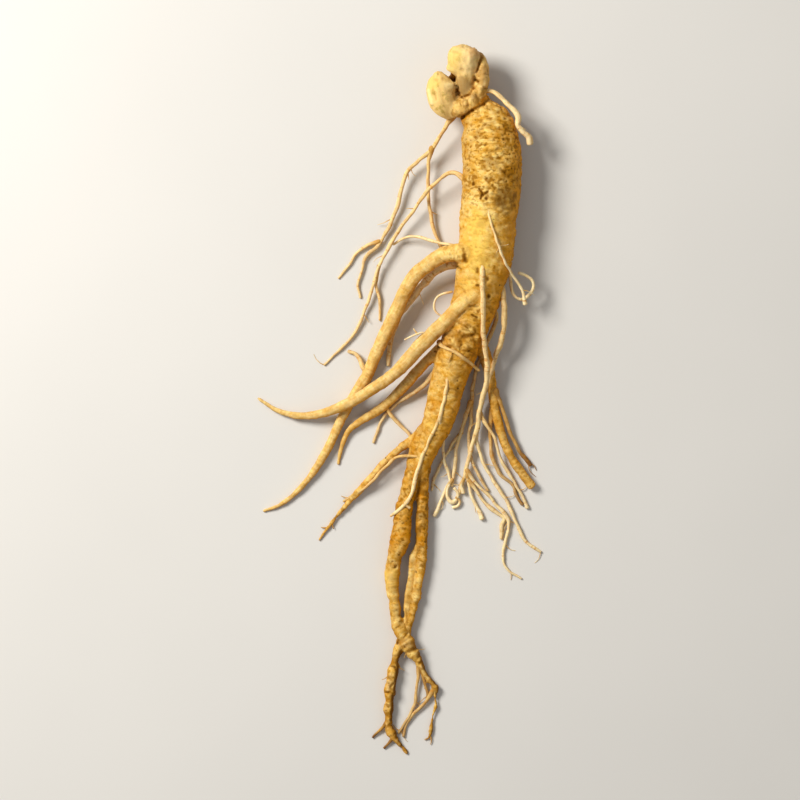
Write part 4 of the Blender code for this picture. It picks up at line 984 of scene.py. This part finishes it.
def relief(points, fields, strands):
    """For each point of the skin: how far it stands out in millimetres, its recess and its pit."""
    look = looks_of(points, fields, strands)
    coord = fields.coord
    knot = patch(points, KNOT_PATCH, 61) * belongs(fields, strands, "main")
    size = np.clip(fields.radius / FULL_RADIUS, 0.2, 1.0)
    calm = from_low(0.25, ease(0.0, 2.0, fields.gap))
    scale = look.relief * calm * from_low(0.45, size)

    out = SWELL_HEIGHT * noise(points / SWELL_SIZE, 3)
    out += SMALL_SWELL_HEIGHT * noise(points / SMALL_SWELL_SIZE, 4)
    out *= from_low(0.35, size)
    out *= look.relief
    lump = noise(coord / LUMP_SIZE, 5)
    out += LUMP_HEIGHT * lump * scale
    crumb, recess = crumbs(coord, look.speckle, knot)
    out += crumb * scale
    recess = np.maximum(recess, 0.5 * ease(0.1, 0.7, -lump) * from_low(0.3, look.speckle))
    crack, ring = cracks_and_rings(points, coord)
    out -= (CRACK_DEPTH * crack + RING_DEPTH * ring) * scale
    recess = np.maximum(recess, (0.45 * crack + 0.35 * ring) * from_low(0.35, look.speckle))
    side = belongs(fields, strands, "left_root")
    shape_part(out, recess, side, *wrinkles(coord[side]))

    near, number = dots(coord / PIT_SIZE, 20)
    pit = (1 - ease(0.10, 0.24, near)) * ease(0.35, 0.9, number) * ease(0.2, 0.5, look.speckle)
    out -= PIT_DEPTH * pit * scale
    pit *= 0.8 * from_low(0.35, calm) * (1 - look.bud)
    recess *= from_low(0.35, calm) * (1 - 0.8 * look.bud)

    collar = belongs(fields, strands, "collar")
    knotty = np.maximum(knot, 0.9 * collar)
    some = knotty > 0
    shape_part(out, recess, some, *nodules(points[some], collar[some], knotty[some]))
    for start, height in BUD_STRIPES.items():
        bud = belongs(fields, strands, start)
        shape_part(out, recess, bud, *stripes(coord[bud], height))
    tail = belongs(fields, strands, "tail")
    knuckle = knuckles(coord[tail], fields.radius[tail], fields.progress[tail])
    shape_part(out, recess, tail, *knuckle)

    pushed, dark, _ = marked(points, fields)
    recess = np.maximum(recess, 1.1 * dark)
    pit = np.maximum(pit, (dark - 0.45) * 1.5)
    return out + pushed, np.clip(recess, 0, 1), np.clip(pit, 0, 1)


def skin_piece(strands):
    """All the thick roots in one skin, with its relief pushed out of it."""
    shells = []
    for strand in strands:
        girth = 2 * math.pi * strand.radii.max()
        sides = int(np.clip(girth / SIDE_WIDTH, FEWEST_SIDES, MOST_SIDES))
        shells.append(tube(strand, sides, *END_ROUNDNESS.get(strand.name, FULL_ROUNDNESS)))
    skin = new_object("root_skin_mesh", mesh_of("root_skin_mesh", shells))
    remesh = skin.modifiers.new("one_skin", "REMESH")
    remesh.mode = "VOXEL"
    remesh.voxel_size = SKIN_VOXEL * MM
    apply_modifiers(skin)

    points = read_points(skin.data)
    edges = read_rows(skin.data.edges, "vertices", 2, np.int32)
    fields = measure(points, strands)
    weld = looks_of(points, fields, strands).weld
    junction = (1 - ease(*JUNCTION_GAPS, fields.gap)) * weld
    points = soften(points, edges, np.ones(len(points)), *SKIN_SOFTENING)
    points = soften(points, edges, junction, *JUNCTION_SOFTENING)
    write_points(skin.data, points)
    out, _, _ = relief(points, fields, strands)
    points += read_normals(skin.data) * out[:, None]
    points[:, 2] = np.maximum(points[:, 2], 0.0)
    write_points(skin.data, points)

    skin.data.calc_loop_triangles()
    count = len(skin.data.loop_triangles)
    if count > MOST_TRIANGLES:
        thin = skin.modifiers.new("thin", "DECIMATE")
        thin.ratio = MOST_TRIANGLES / count
        apply_modifiers(skin)
    skin.name = "root_skin_body"
    skin.data.name = "root_skin_body"
    return skin


def painted_shade(normals):
    """Painted shade: 1 on the sides turned down and right, away from the key light, 0 on the others."""
    return ease(-0.72, 0.28, -(normals @ LIT_SIDE))


def set_attribute(mesh, name, values):
    """Stores one number, or three, for each point."""
    kind, key = ("FLOAT", "value") if values.ndim == 1 else ("FLOAT_VECTOR", "vector")
    attribute = mesh.attributes.new(name, kind, "POINT")
    attribute.data.foreach_set(key, values.astype(np.float32).ravel())


def soil_of(points, fields, strands):
    """Soil in streaks on one place of the body, and on the upper part of the right tail leg."""
    streak = noise(points / SOIL_STREAK, 62)
    soil = patch(points, SOIL_PATCH, 63) * (0.80 + 0.30 * streak)
    leg = ease(*SOILED_LEG, points[:, 1]) * belongs(fields, strands, "tail_leg_right")
    return soil + 0.65 * leg * ease(-0.15, 0.3, noise(points / 2.0, 65))


def paint_skin(skin, strands):
    """Stores on the skin what its material mixes its colours by."""
    points = read_points(skin.data)
    normals = read_normals(skin.data)
    fields = measure(points, strands)
    look = looks_of(points, fields, strands)
    _, recess, pit = relief(points, fields, strands)
    _, _, light = marked(points, fields)
    top = ease(0.0, 1.0, fields.lift)
    no_bud = 1 - look.bud

    # Painted shade: the sides turned away from the key light, mixed towards the shade gold.
    away = painted_shade(normals) * (1 - 0.5 * look.pale) * no_bud
    # Painted shade: the sides that face down and away from the light, darkened with the recess brown.
    under = ease(0.10, 0.80, -(normals @ LIT_SIDE)) * no_bud
    # Painted shade on the left flank, as on a root's edges.
    left_flank = ease(0.25, 0.90, -normals[:, 0]) * no_bud * (1 - look.pale)
    recess = np.maximum(recess, 0.85 * under)
    recess = np.maximum(recess, 0.40 * left_flank * look.speckle)
    # Painted shade on the right sides of the lower tail legs.
    lower = ease(0.5, 0.8, fields.progress) * belongs(fields, strands, "tail_leg")
    pit = np.maximum(pit, 0.62 * lower * ease(0.10, 0.75, normals[:, 0]))
    # Painted shade and dirt in the crown's cup.
    cup = belongs(fields, strands, "crown") & (normals[:, 2] > 0.0)
    pit = np.where(cup, 1.0, pit)

    # Painted shade in the creases where two roots meet.
    crease = 0.45 * (1 - ease(0.0, 1.6, fields.gap)) * no_bud
    amber = look.amber + crease + 0.2 * left_flank
    lemon = np.zeros(len(points))
    for k, (*place, strength) in enumerate(AMBER_PATCHES):
        amber += patch(points, place, 90 + 2 * k) * strength * top
    for k, (*place, strength) in enumerate(LEMON_PATCHES):
        lemon = np.maximum(lemon, patch(points, place, 51 + k) * strength)
    stalk = belongs(fields, strands, "top_bud")

    shares = {
        "pale": look.pale + light,
        "amber": amber,
        "away": away,
        "lemon": lemon * top,
        "speckle": look.speckle,
        "bud": look.bud,
        "recess": recess,
        "pit": pit,
        "soil": soil_of(points, fields, strands) * top,
        "peach": patch(points, PEACH_PATCH, 67),
        "stalk": patch(points, STALK_PATCH, 69) * stalk,
    }
    set_attribute(skin.data, "skin_coord", fields.coord)
    for name, values in shares.items():
        set_attribute(skin.data, name, np.clip(values, 0, 1))


def waver(points, draw):
    """Slight seeded kinks in a rootlet, none at its base."""
    phase = [draw.uniform(0, 40) for _ in range(2)]
    step = np.arange(len(points))[:, None] * FINE_GAP
    ramp = ease(1.0, 5.0, step[:, 0])
    moved = points.copy()
    for axis in range(2):
        place = np.hstack([step / KINK_LENGTH + phase[axis], step * 0, step * 0 + axis])
        moved[:, axis] += KINK_REACH * noise(place, 71) * ramp
    place = np.hstack([step / NODE_LENGTH + phase[0], step * 0, step * 0 + 5])
    moved[:, 3] *= 1 + NODE_SWELL * noise(place, 73)
    moved[:, 2] = np.maximum(moved[:, 2], moved[:, 3] * 0.95)
    return moved


def rootlet_strands():
    draw = random.Random(KINK_SEED)
    strands = []
    for name, (_, *route) in ROOTLETS.items():
        strands.append(make_strand(name, waver(smooth_route(route, FINE_GAP), draw)))
    return strands


def hair_rows(host, k, way, length, radius, draw):
    """Points of one fine hair out of a host root and down to the surface."""
    level = np.array([-host.ahead[k][1], host.ahead[k][0], 0.0]) * way
    heading = level + host.ahead[k] * draw.uniform(0.4, 1.4)
    heading[2] = draw.uniform(-0.1, 0.1)
    heading /= np.linalg.norm(heading)
    place = host.centres[k] + level * host.radii[k] * 0.5
    bend = 0.0
    rows = []
    steps = int((length + host.radii[k] * 0.5) / FINE_GAP) + 3
    for step in range(steps):
        share = step / steps
        rows.append((*place, radius * (1.35 - 0.85 * share)))
        bend = 0.8 * bend + draw.uniform(-0.12, 0.12)
        turned = math.cos(bend) * heading[0] - math.sin(bend) * heading[1]
        heading[1] = math.sin(bend) * heading[0] + math.cos(bend) * heading[1]
        heading[0] = turned
        heading[2] -= 0.04
        heading /= np.linalg.norm(heading)
        place = place + heading * FINE_GAP
        if place[2] < radius:
            place[2] = radius
            heading[2] = 0.0
    return np.array(rows)


def hair_strands(hosts, draw, count, lengths, radii, start):
    """Fine hairs at random places of their hosts, inside the CAD's box."""
    low = np.array(cad_box[0][:2]) / MM
    high = np.array(cad_box[1][:2]) / MM
    weights = [host.along[-1] for host in hosts]
    hairs = []
    while len(hairs) < count:
        host = draw.choices(hosts, weights)[0]
        k = draw.randrange(int(start * len(host.centres)), len(host.centres))
        way = draw.choice((-1, 1))
        rows = hair_rows(host, k, way, draw.uniform(*lengths), draw.uniform(*radii), draw)
        if (rows[:, :2] > low).all() and (rows[:, :2] < high).all():
            hairs.append(make_strand(host.name, rows))
    return hairs


def strands_piece(name, strands, sides):
    """One object of many tubes, with what its material mixes its colours by."""
    shells = [tube(strand, sides, *FINE_ROUNDNESS) for strand in strands]
    obj = new_object(name, mesh_of(name, shells))
    points = read_points(obj.data)
    coord = np.empty_like(points)
    white, brown, tip, base = np.empty((4, len(points)))
    low = 0
    draw = random.Random(PATTERN_SEED)
    for strand, (shell_points, _) in zip(strands, shells):
        high = low + len(shell_points)
        rings = len(shell_points) // sides
        k = np.clip(np.repeat(np.arange(rings) - DOME_RINGS, sides), 0, len(strand.centres) - 1)
        out = shell_points - strand.centres[k]
        coord[low:high, 0] = strand.along[k] + draw.uniform(0, 900)
        coord[low:high, 1] = (out * strand.side[k]).sum(axis=1)
        coord[low:high, 2] = (out * strand.up[k]).sum(axis=1)
        white_base, white_tip, brown[low:high] = ROOTLETS.get(strand.name, [HAIR_TONE])[0]
        tip[low:high] = strand.along[k] / strand.along[-1]
        white[low:high] = white_base + (white_tip - white_base) * ease(0.15, 0.6, tip[low:high])
        base[low:high] = 1 - ease(0.5, 4.0, strand.along[k])
        low = high
    points[:, 2] = np.maximum(points[:, 2], 0.0)
    write_points(obj.data, points)
    # Painted shade on the sides of the rootlets and hairs turned away from the key light.
    away = painted_shade(read_normals(obj.data))
    shares = {"white": white, "brown": brown, "tip": tip, "base": base, "away": away}
    set_attribute(obj.data, "skin_coord", coord)
    for share, values in shares.items():
        set_attribute(obj.data, share, values)
    obj.data.shade_smooth()
    return obj


class Graph:
    """Short calls for building a material's node tree."""

    def __init__(self, name):
        self.material = bpy.data.materials.new(name)
        self.material.use_nodes = True
        self.tree = self.material.node_tree
        self.shader = self.tree.nodes["Principled BSDF"]

    def fill(self, node, **inputs):
        """Puts colours, numbers and links on a node's sockets."""
        for key, value in inputs.items():
            self.feed(node.inputs[key.replace("_", " ")], value)
        return node

    def node(self, kind, **inputs):
        return self.fill(self.tree.nodes.new(kind), **inputs)

    def feed(self, socket, value):
        if isinstance(value, bpy.types.NodeSocket):
            self.tree.links.new(value, socket)
        else:
            socket.default_value = value

    def attribute(self, name, output="Fac"):
        made = self.tree.nodes.new("ShaderNodeAttribute")
        made.attribute_name = name
        return made.outputs[output]

    def part(self, name, share):
        """A share of one of the mesh's attributes."""
        return self.times(self.attribute(name), share)

    def noise(self, vector, scale, detail=3.0, roughness=0.55):
        """Noise with a scale of its own along the root and across it."""
        along, across = scale
        placed = self.node("ShaderNodeMapping", Vector=vector, Scale=(along, across, across))
        made = self.node("ShaderNodeTexNoise", Vector=placed.outputs["Vector"], Scale=1.0)
        return self.fill(made, Detail=detail, Roughness=roughness).outputs["Fac"]

    def ramp(self, value, stops):
        """Colours or greys at places from 0 to 1."""
        made = self.tree.nodes.new("ShaderNodeValToRGB")
        elements = made.color_ramp.elements
        while len(elements) < len(stops):
            elements.new(0.5)
        for element, (place, colour) in zip(elements, stops):
            element.position = place
            if isinstance(colour, (int, float)):
                colour = (colour, colour, colour)
            element.color = (*colour, 1.0)
        self.feed(made.inputs["Fac"], value)
        return made.outputs["Color"]

    def mix(self, share, a, b):
        """Two colours or links, the second by a share."""
        made = self.node("ShaderNodeMix", Factor=share)
        made.data_type = "RGBA"
        for socket, colour in zip(MIX_INPUTS, (a, b)):
            self.feed(made.inputs[socket], (*colour, 1.0) if isinstance(colour, tuple) else colour)
        return made.outputs[MIX_OUTPUT]

    def times(self, a, b):
        made = self.tree.nodes.new("ShaderNodeMath")
        made.operation = "MULTIPLY"
        self.feed(made.inputs[0], a)
        self.feed(made.inputs[1], b)
        return made.outputs[0]

    def bump(self, height, strength, distance, normal=None):
        made = self.node("ShaderNodeBump", Height=height, Strength=strength, Distance=distance)
        if normal is not None:
            self.feed(made.inputs["Normal"], normal)
        return made.outputs["Normal"]


# Skin colours, as linear red, green and blue.
GOLD_LIGHT = (0.98, 0.755, 0.285)
GOLD = (0.87, 0.555, 0.135)
OCHRE = (0.64, 0.32, 0.035)
AMBER = (0.58, 0.235, 0.008)
# SHADE_GOLD is painted shade; RECESS_BROWN and PIT_BROWN are the skin's own brown and, in places,
# painted shade.
SHADE_GOLD = (0.84, 0.340, 0.003)
RECESS_BROWN = (0.31, 0.125, 0.004)
PIT_BROWN = (0.10, 0.030, 0.001)
LEMON = (0.90, 0.61, 0.125)
CREAM = (0.87, 0.65, 0.30)
CREAM_DARK = (0.68, 0.43, 0.13)
BUD_LEMON = (0.80, 0.575, 0.110)
BUD_PALE = (0.84, 0.58, 0.215)
BUD_LIGHT = (1.00, 0.77, 0.37)
BUD_OLIVE = (0.50, 0.34, 0.085)
PEACH = (0.74, 0.44, 0.19)
STALK_GREY = (0.38, 0.235, 0.085)
SOIL = (0.17, 0.070, 0.006)
ROOTLET_GOLD = (0.86, 0.55, 0.160)
ROOTLET_WHITE = (1.00, 0.84, 0.52)
ROOTLET_SHADE = (0.55, 0.29, 0.060)
ROOTLET_BASE = (0.52, 0.25, 0.030)
ROOTLET_BROWN = (0.30, 0.135, 0.030)
TIP_BROWN = (0.17, 0.060, 0.012)


def skin_material():
    g = Graph("root_skin_gold")
    place = g.attribute("skin_coord", "Vector")
    mottle = g.noise(place, (0.42, 0.28), 4.0, 0.62)
    tone = g.ramp(mottle, [(0.34, OCHRE), (0.46, GOLD), (0.60, GOLD_LIGHT)])
    lemon_share = g.part("lemon", g.ramp(mottle, [(0.35, 0.35), (0.55, 1.0)]))
    tone = g.mix(lemon_share, tone, LEMON)

    streak = g.noise(place, (0.25, 1.0))
    cream = g.ramp(streak, [(0.34, CREAM_DARK), (0.60, CREAM)])
    band = g.ramp(g.noise(place, (0.60, 0.20), 4.0, 0.6), [(0.38, 0.45), (0.50, 0.0)])
    cream = g.mix(band, cream, OCHRE)
    tone = g.mix(g.attribute("pale"), tone, cream)

    cloud = g.noise(place, (0.30, 0.22), 4.0, 0.6)
    amber_share = g.part("amber", g.ramp(cloud, [(0.36, 1.0), (0.62, 0.35)]))
    tone = g.mix(amber_share, tone, AMBER)
    # Painted shade on the sides turned away from the key light.
    tone = g.mix(g.part("away", 0.88), tone, SHADE_GOLD)

    bud_skin = g.ramp(g.noise(place, (0.35, 0.35), 3.0, 0.6), [(0.32, BUD_OLIVE), (0.46, BUD_PALE)])
    bud_skin = g.mix(g.part("lemon", 0.6), bud_skin, BUD_LEMON)
    bud_skin = g.mix(g.part("pale", 0.8), bud_skin, BUD_LIGHT)
    tone = g.mix(g.attribute("bud"), tone, bud_skin)
    tone = g.mix(g.part("peach", 0.8), tone, PEACH)
    tone = g.mix(g.part("stalk", 0.9), tone, STALK_GREY)

    fleck = g.ramp(g.noise(place, (0.95, 0.6), 3.0, 0.6), [(0.355, 1.0), (0.445, 0.0)])
    fleck = g.part("speckle", fleck)
    tone = g.mix(g.times(fleck, 0.70), tone, RECESS_BROWN)
    # The recess and pit browns: the skin's own speckle and pits, and painted shade on the downward
    # sides, the left flank, the lower legs' right sides, the cup and the dark marks.
    recess_share = g.ramp(g.attribute("recess"), [(0.0, 0.0), (0.5, 0.55), (1.0, 0.92)])
    tone = g.mix(recess_share, tone, RECESS_BROWN)
    pit_share = g.ramp(g.attribute("pit"), [(0.0, 0.0), (0.5, 0.65), (1.0, 1.0)])
    tone = g.mix(pit_share, tone, PIT_BROWN)
    tone = g.mix(g.part("soil", 0.88), tone, SOIL)

    grain = g.bump(g.noise(place, (2.4, 1.4), 4.0, 0.65), 0.5, 0.00032)
    g.fill(
        g.shader,
        Base_Color=tone,
        Roughness=g.ramp(g.noise(place, (0.9, 0.9), 2.0), [(0.3, 0.50), (0.7, 0.72)]),
        Normal=g.bump(fleck, 0.5, -0.0002, grain),
        Specular_IOR_Level=0.12,
        Specular_Tint=(1.0, 0.72, 0.30, 1.0),
        Subsurface_Weight=0.10,
        Subsurface_Radius=(1.0, 0.5, 0.15),
        Subsurface_Scale=0.0014,
    )
    return g.material


def rootlet_material():
    g = Graph("rootlet_skin")
    place = g.attribute("skin_coord", "Vector")
    streak = g.noise(place, (0.35, 1.0))
    tone = g.ramp(streak, [(0.34, ROOTLET_SHADE), (0.58, ROOTLET_GOLD)])
    white = g.part("white", g.ramp(streak, [(0.30, 0.55), (0.55, 1.0)]))
    tone = g.mix(white, tone, ROOTLET_WHITE)
    # Painted shade on the sides turned away from the key light.
    tone = g.mix(g.part("away", 0.4), tone, ROOTLET_SHADE)
    tone = g.mix(g.part("base", 0.75), tone, ROOTLET_BASE)
    cloud = g.noise(place, (0.28, 0.5), 3.0, 0.6)
    brown = g.part("brown", g.ramp(cloud, [(0.34, 1.0), (0.62, 0.45)]))
    tone = g.mix(brown, tone, ROOTLET_BROWN)
    end = g.times(g.ramp(g.attribute("tip"), [(0.6, 0.0), (1.0, 1.0)]), g.attribute("brown"))
    tone = g.mix(end, tone, TIP_BROWN)
    spots = g.ramp(g.noise(place, (0.7, 0.30), 3.0, 0.6), [(0.33, 0.7), (0.43, 0.0)])
    tone = g.mix(spots, tone, AMBER)

    ring = g.noise(place, (2.2, 0.4), 3.0, 0.6)
    g.fill(
        g.shader,
        Base_Color=tone,
        Roughness=g.ramp(ring, [(0.3, 0.45), (0.7, 0.65)]),
        Normal=g.bump(ring, 0.5, 0.0003),
        Specular_IOR_Level=0.3,
        Specular_Tint=(1.0, 0.82, 0.50, 1.0),
        Subsurface_Weight=0.15,
        Subsurface_Radius=(1.0, 0.6, 0.25),
        Subsurface_Scale=0.001,
    )
    return g.material


def floor_material():
    g = Graph("pale_floor")
    place = g.node("ShaderNodeTexCoord").outputs["Object"]
    tone = g.ramp(g.noise(place, (6.0, 6.0)), [(0.3, 0.70), (0.7, 0.73)])
    g.fill(g.shader, Base_Color=tone, Roughness=0.9, Specular_IOR_Level=0.15)
    return g.material


def dress(obj, material):
    obj.data.materials.clear()
    obj.data.materials.append(material)
    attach(obj, BODY)


def make_floor():
    half = FLOOR_HALF
    corners = [(-half, -half, 0), (half, -half, 0), (half, half, 0), (-half, half, 0)]
    mesh = bpy.data.meshes.new("floor")
    mesh.from_pydata(corners, [], [(0, 1, 2, 3)])
    floor = new_object("floor", mesh)
    floor.location.z = -FLOOR_DROP
    floor.data.materials.append(floor_material())


def area_light(name, place, width, power, colour):
    """A round light that shines on the middle of the root."""
    data = bpy.data.lights.new(name, "AREA")
    data.shape = "DISK"
    data.size = width
    data.energy = power
    data.color = colour
    light = new_object(name, data)
    light.location = place
    light.rotation_euler = (-Vector(place)).to_track_quat("-Z", "Y").to_euler()


def make_lights():
    area_light("key", *KEY_LIGHT)
    area_light("fill", *FILL_LIGHT)
    world = bpy.data.worlds.new("soft_room")
    world.use_nodes = True
    background = world.node_tree.nodes["Background"]
    background.inputs["Color"].default_value = ROOM_COLOUR
    background.inputs["Strength"].default_value = ROOM_STRENGTH
    bpy.context.scene.world = world
    bpy.context.scene.view_settings.view_transform = "Standard"


def make_camera():
    """Straight down on the root, its head at the top of the picture."""
    data = bpy.data.cameras.new("camera")
    data.lens = data.sensor_width * CAMERA_HEIGHT / SHOWN_WIDTH
    data.clip_start = 0.01
    camera = new_object("camera", data)
    camera.location.z = CAMERA_HEIGHT
    bpy.context.scene.camera = camera


def main():
    thick = thick_strands()
    skin = skin_piece(thick)
    paint_skin(skin, thick)
    skin.data.shade_smooth()
    dress(skin, skin_material())
    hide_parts(NODE)

    rootlets = rootlet_strands()
    fine = rootlet_material()
    dress(strands_piece("rootlets", rootlets, ROOTLET_SIDES), fine)

    draw = random.Random(HAIR_SEED)
    legs = [strand for strand in thick if strand.name.startswith("tail")]
    hairs = hair_strands(rootlets, draw, **ROOTLET_HAIRS) + hair_strands(legs, draw, **LEG_HAIRS)
    dress(strands_piece("root_hairs", hairs, HAIR_SIDES), fine)

    make_floor()
    make_lights()
    make_camera()


main()
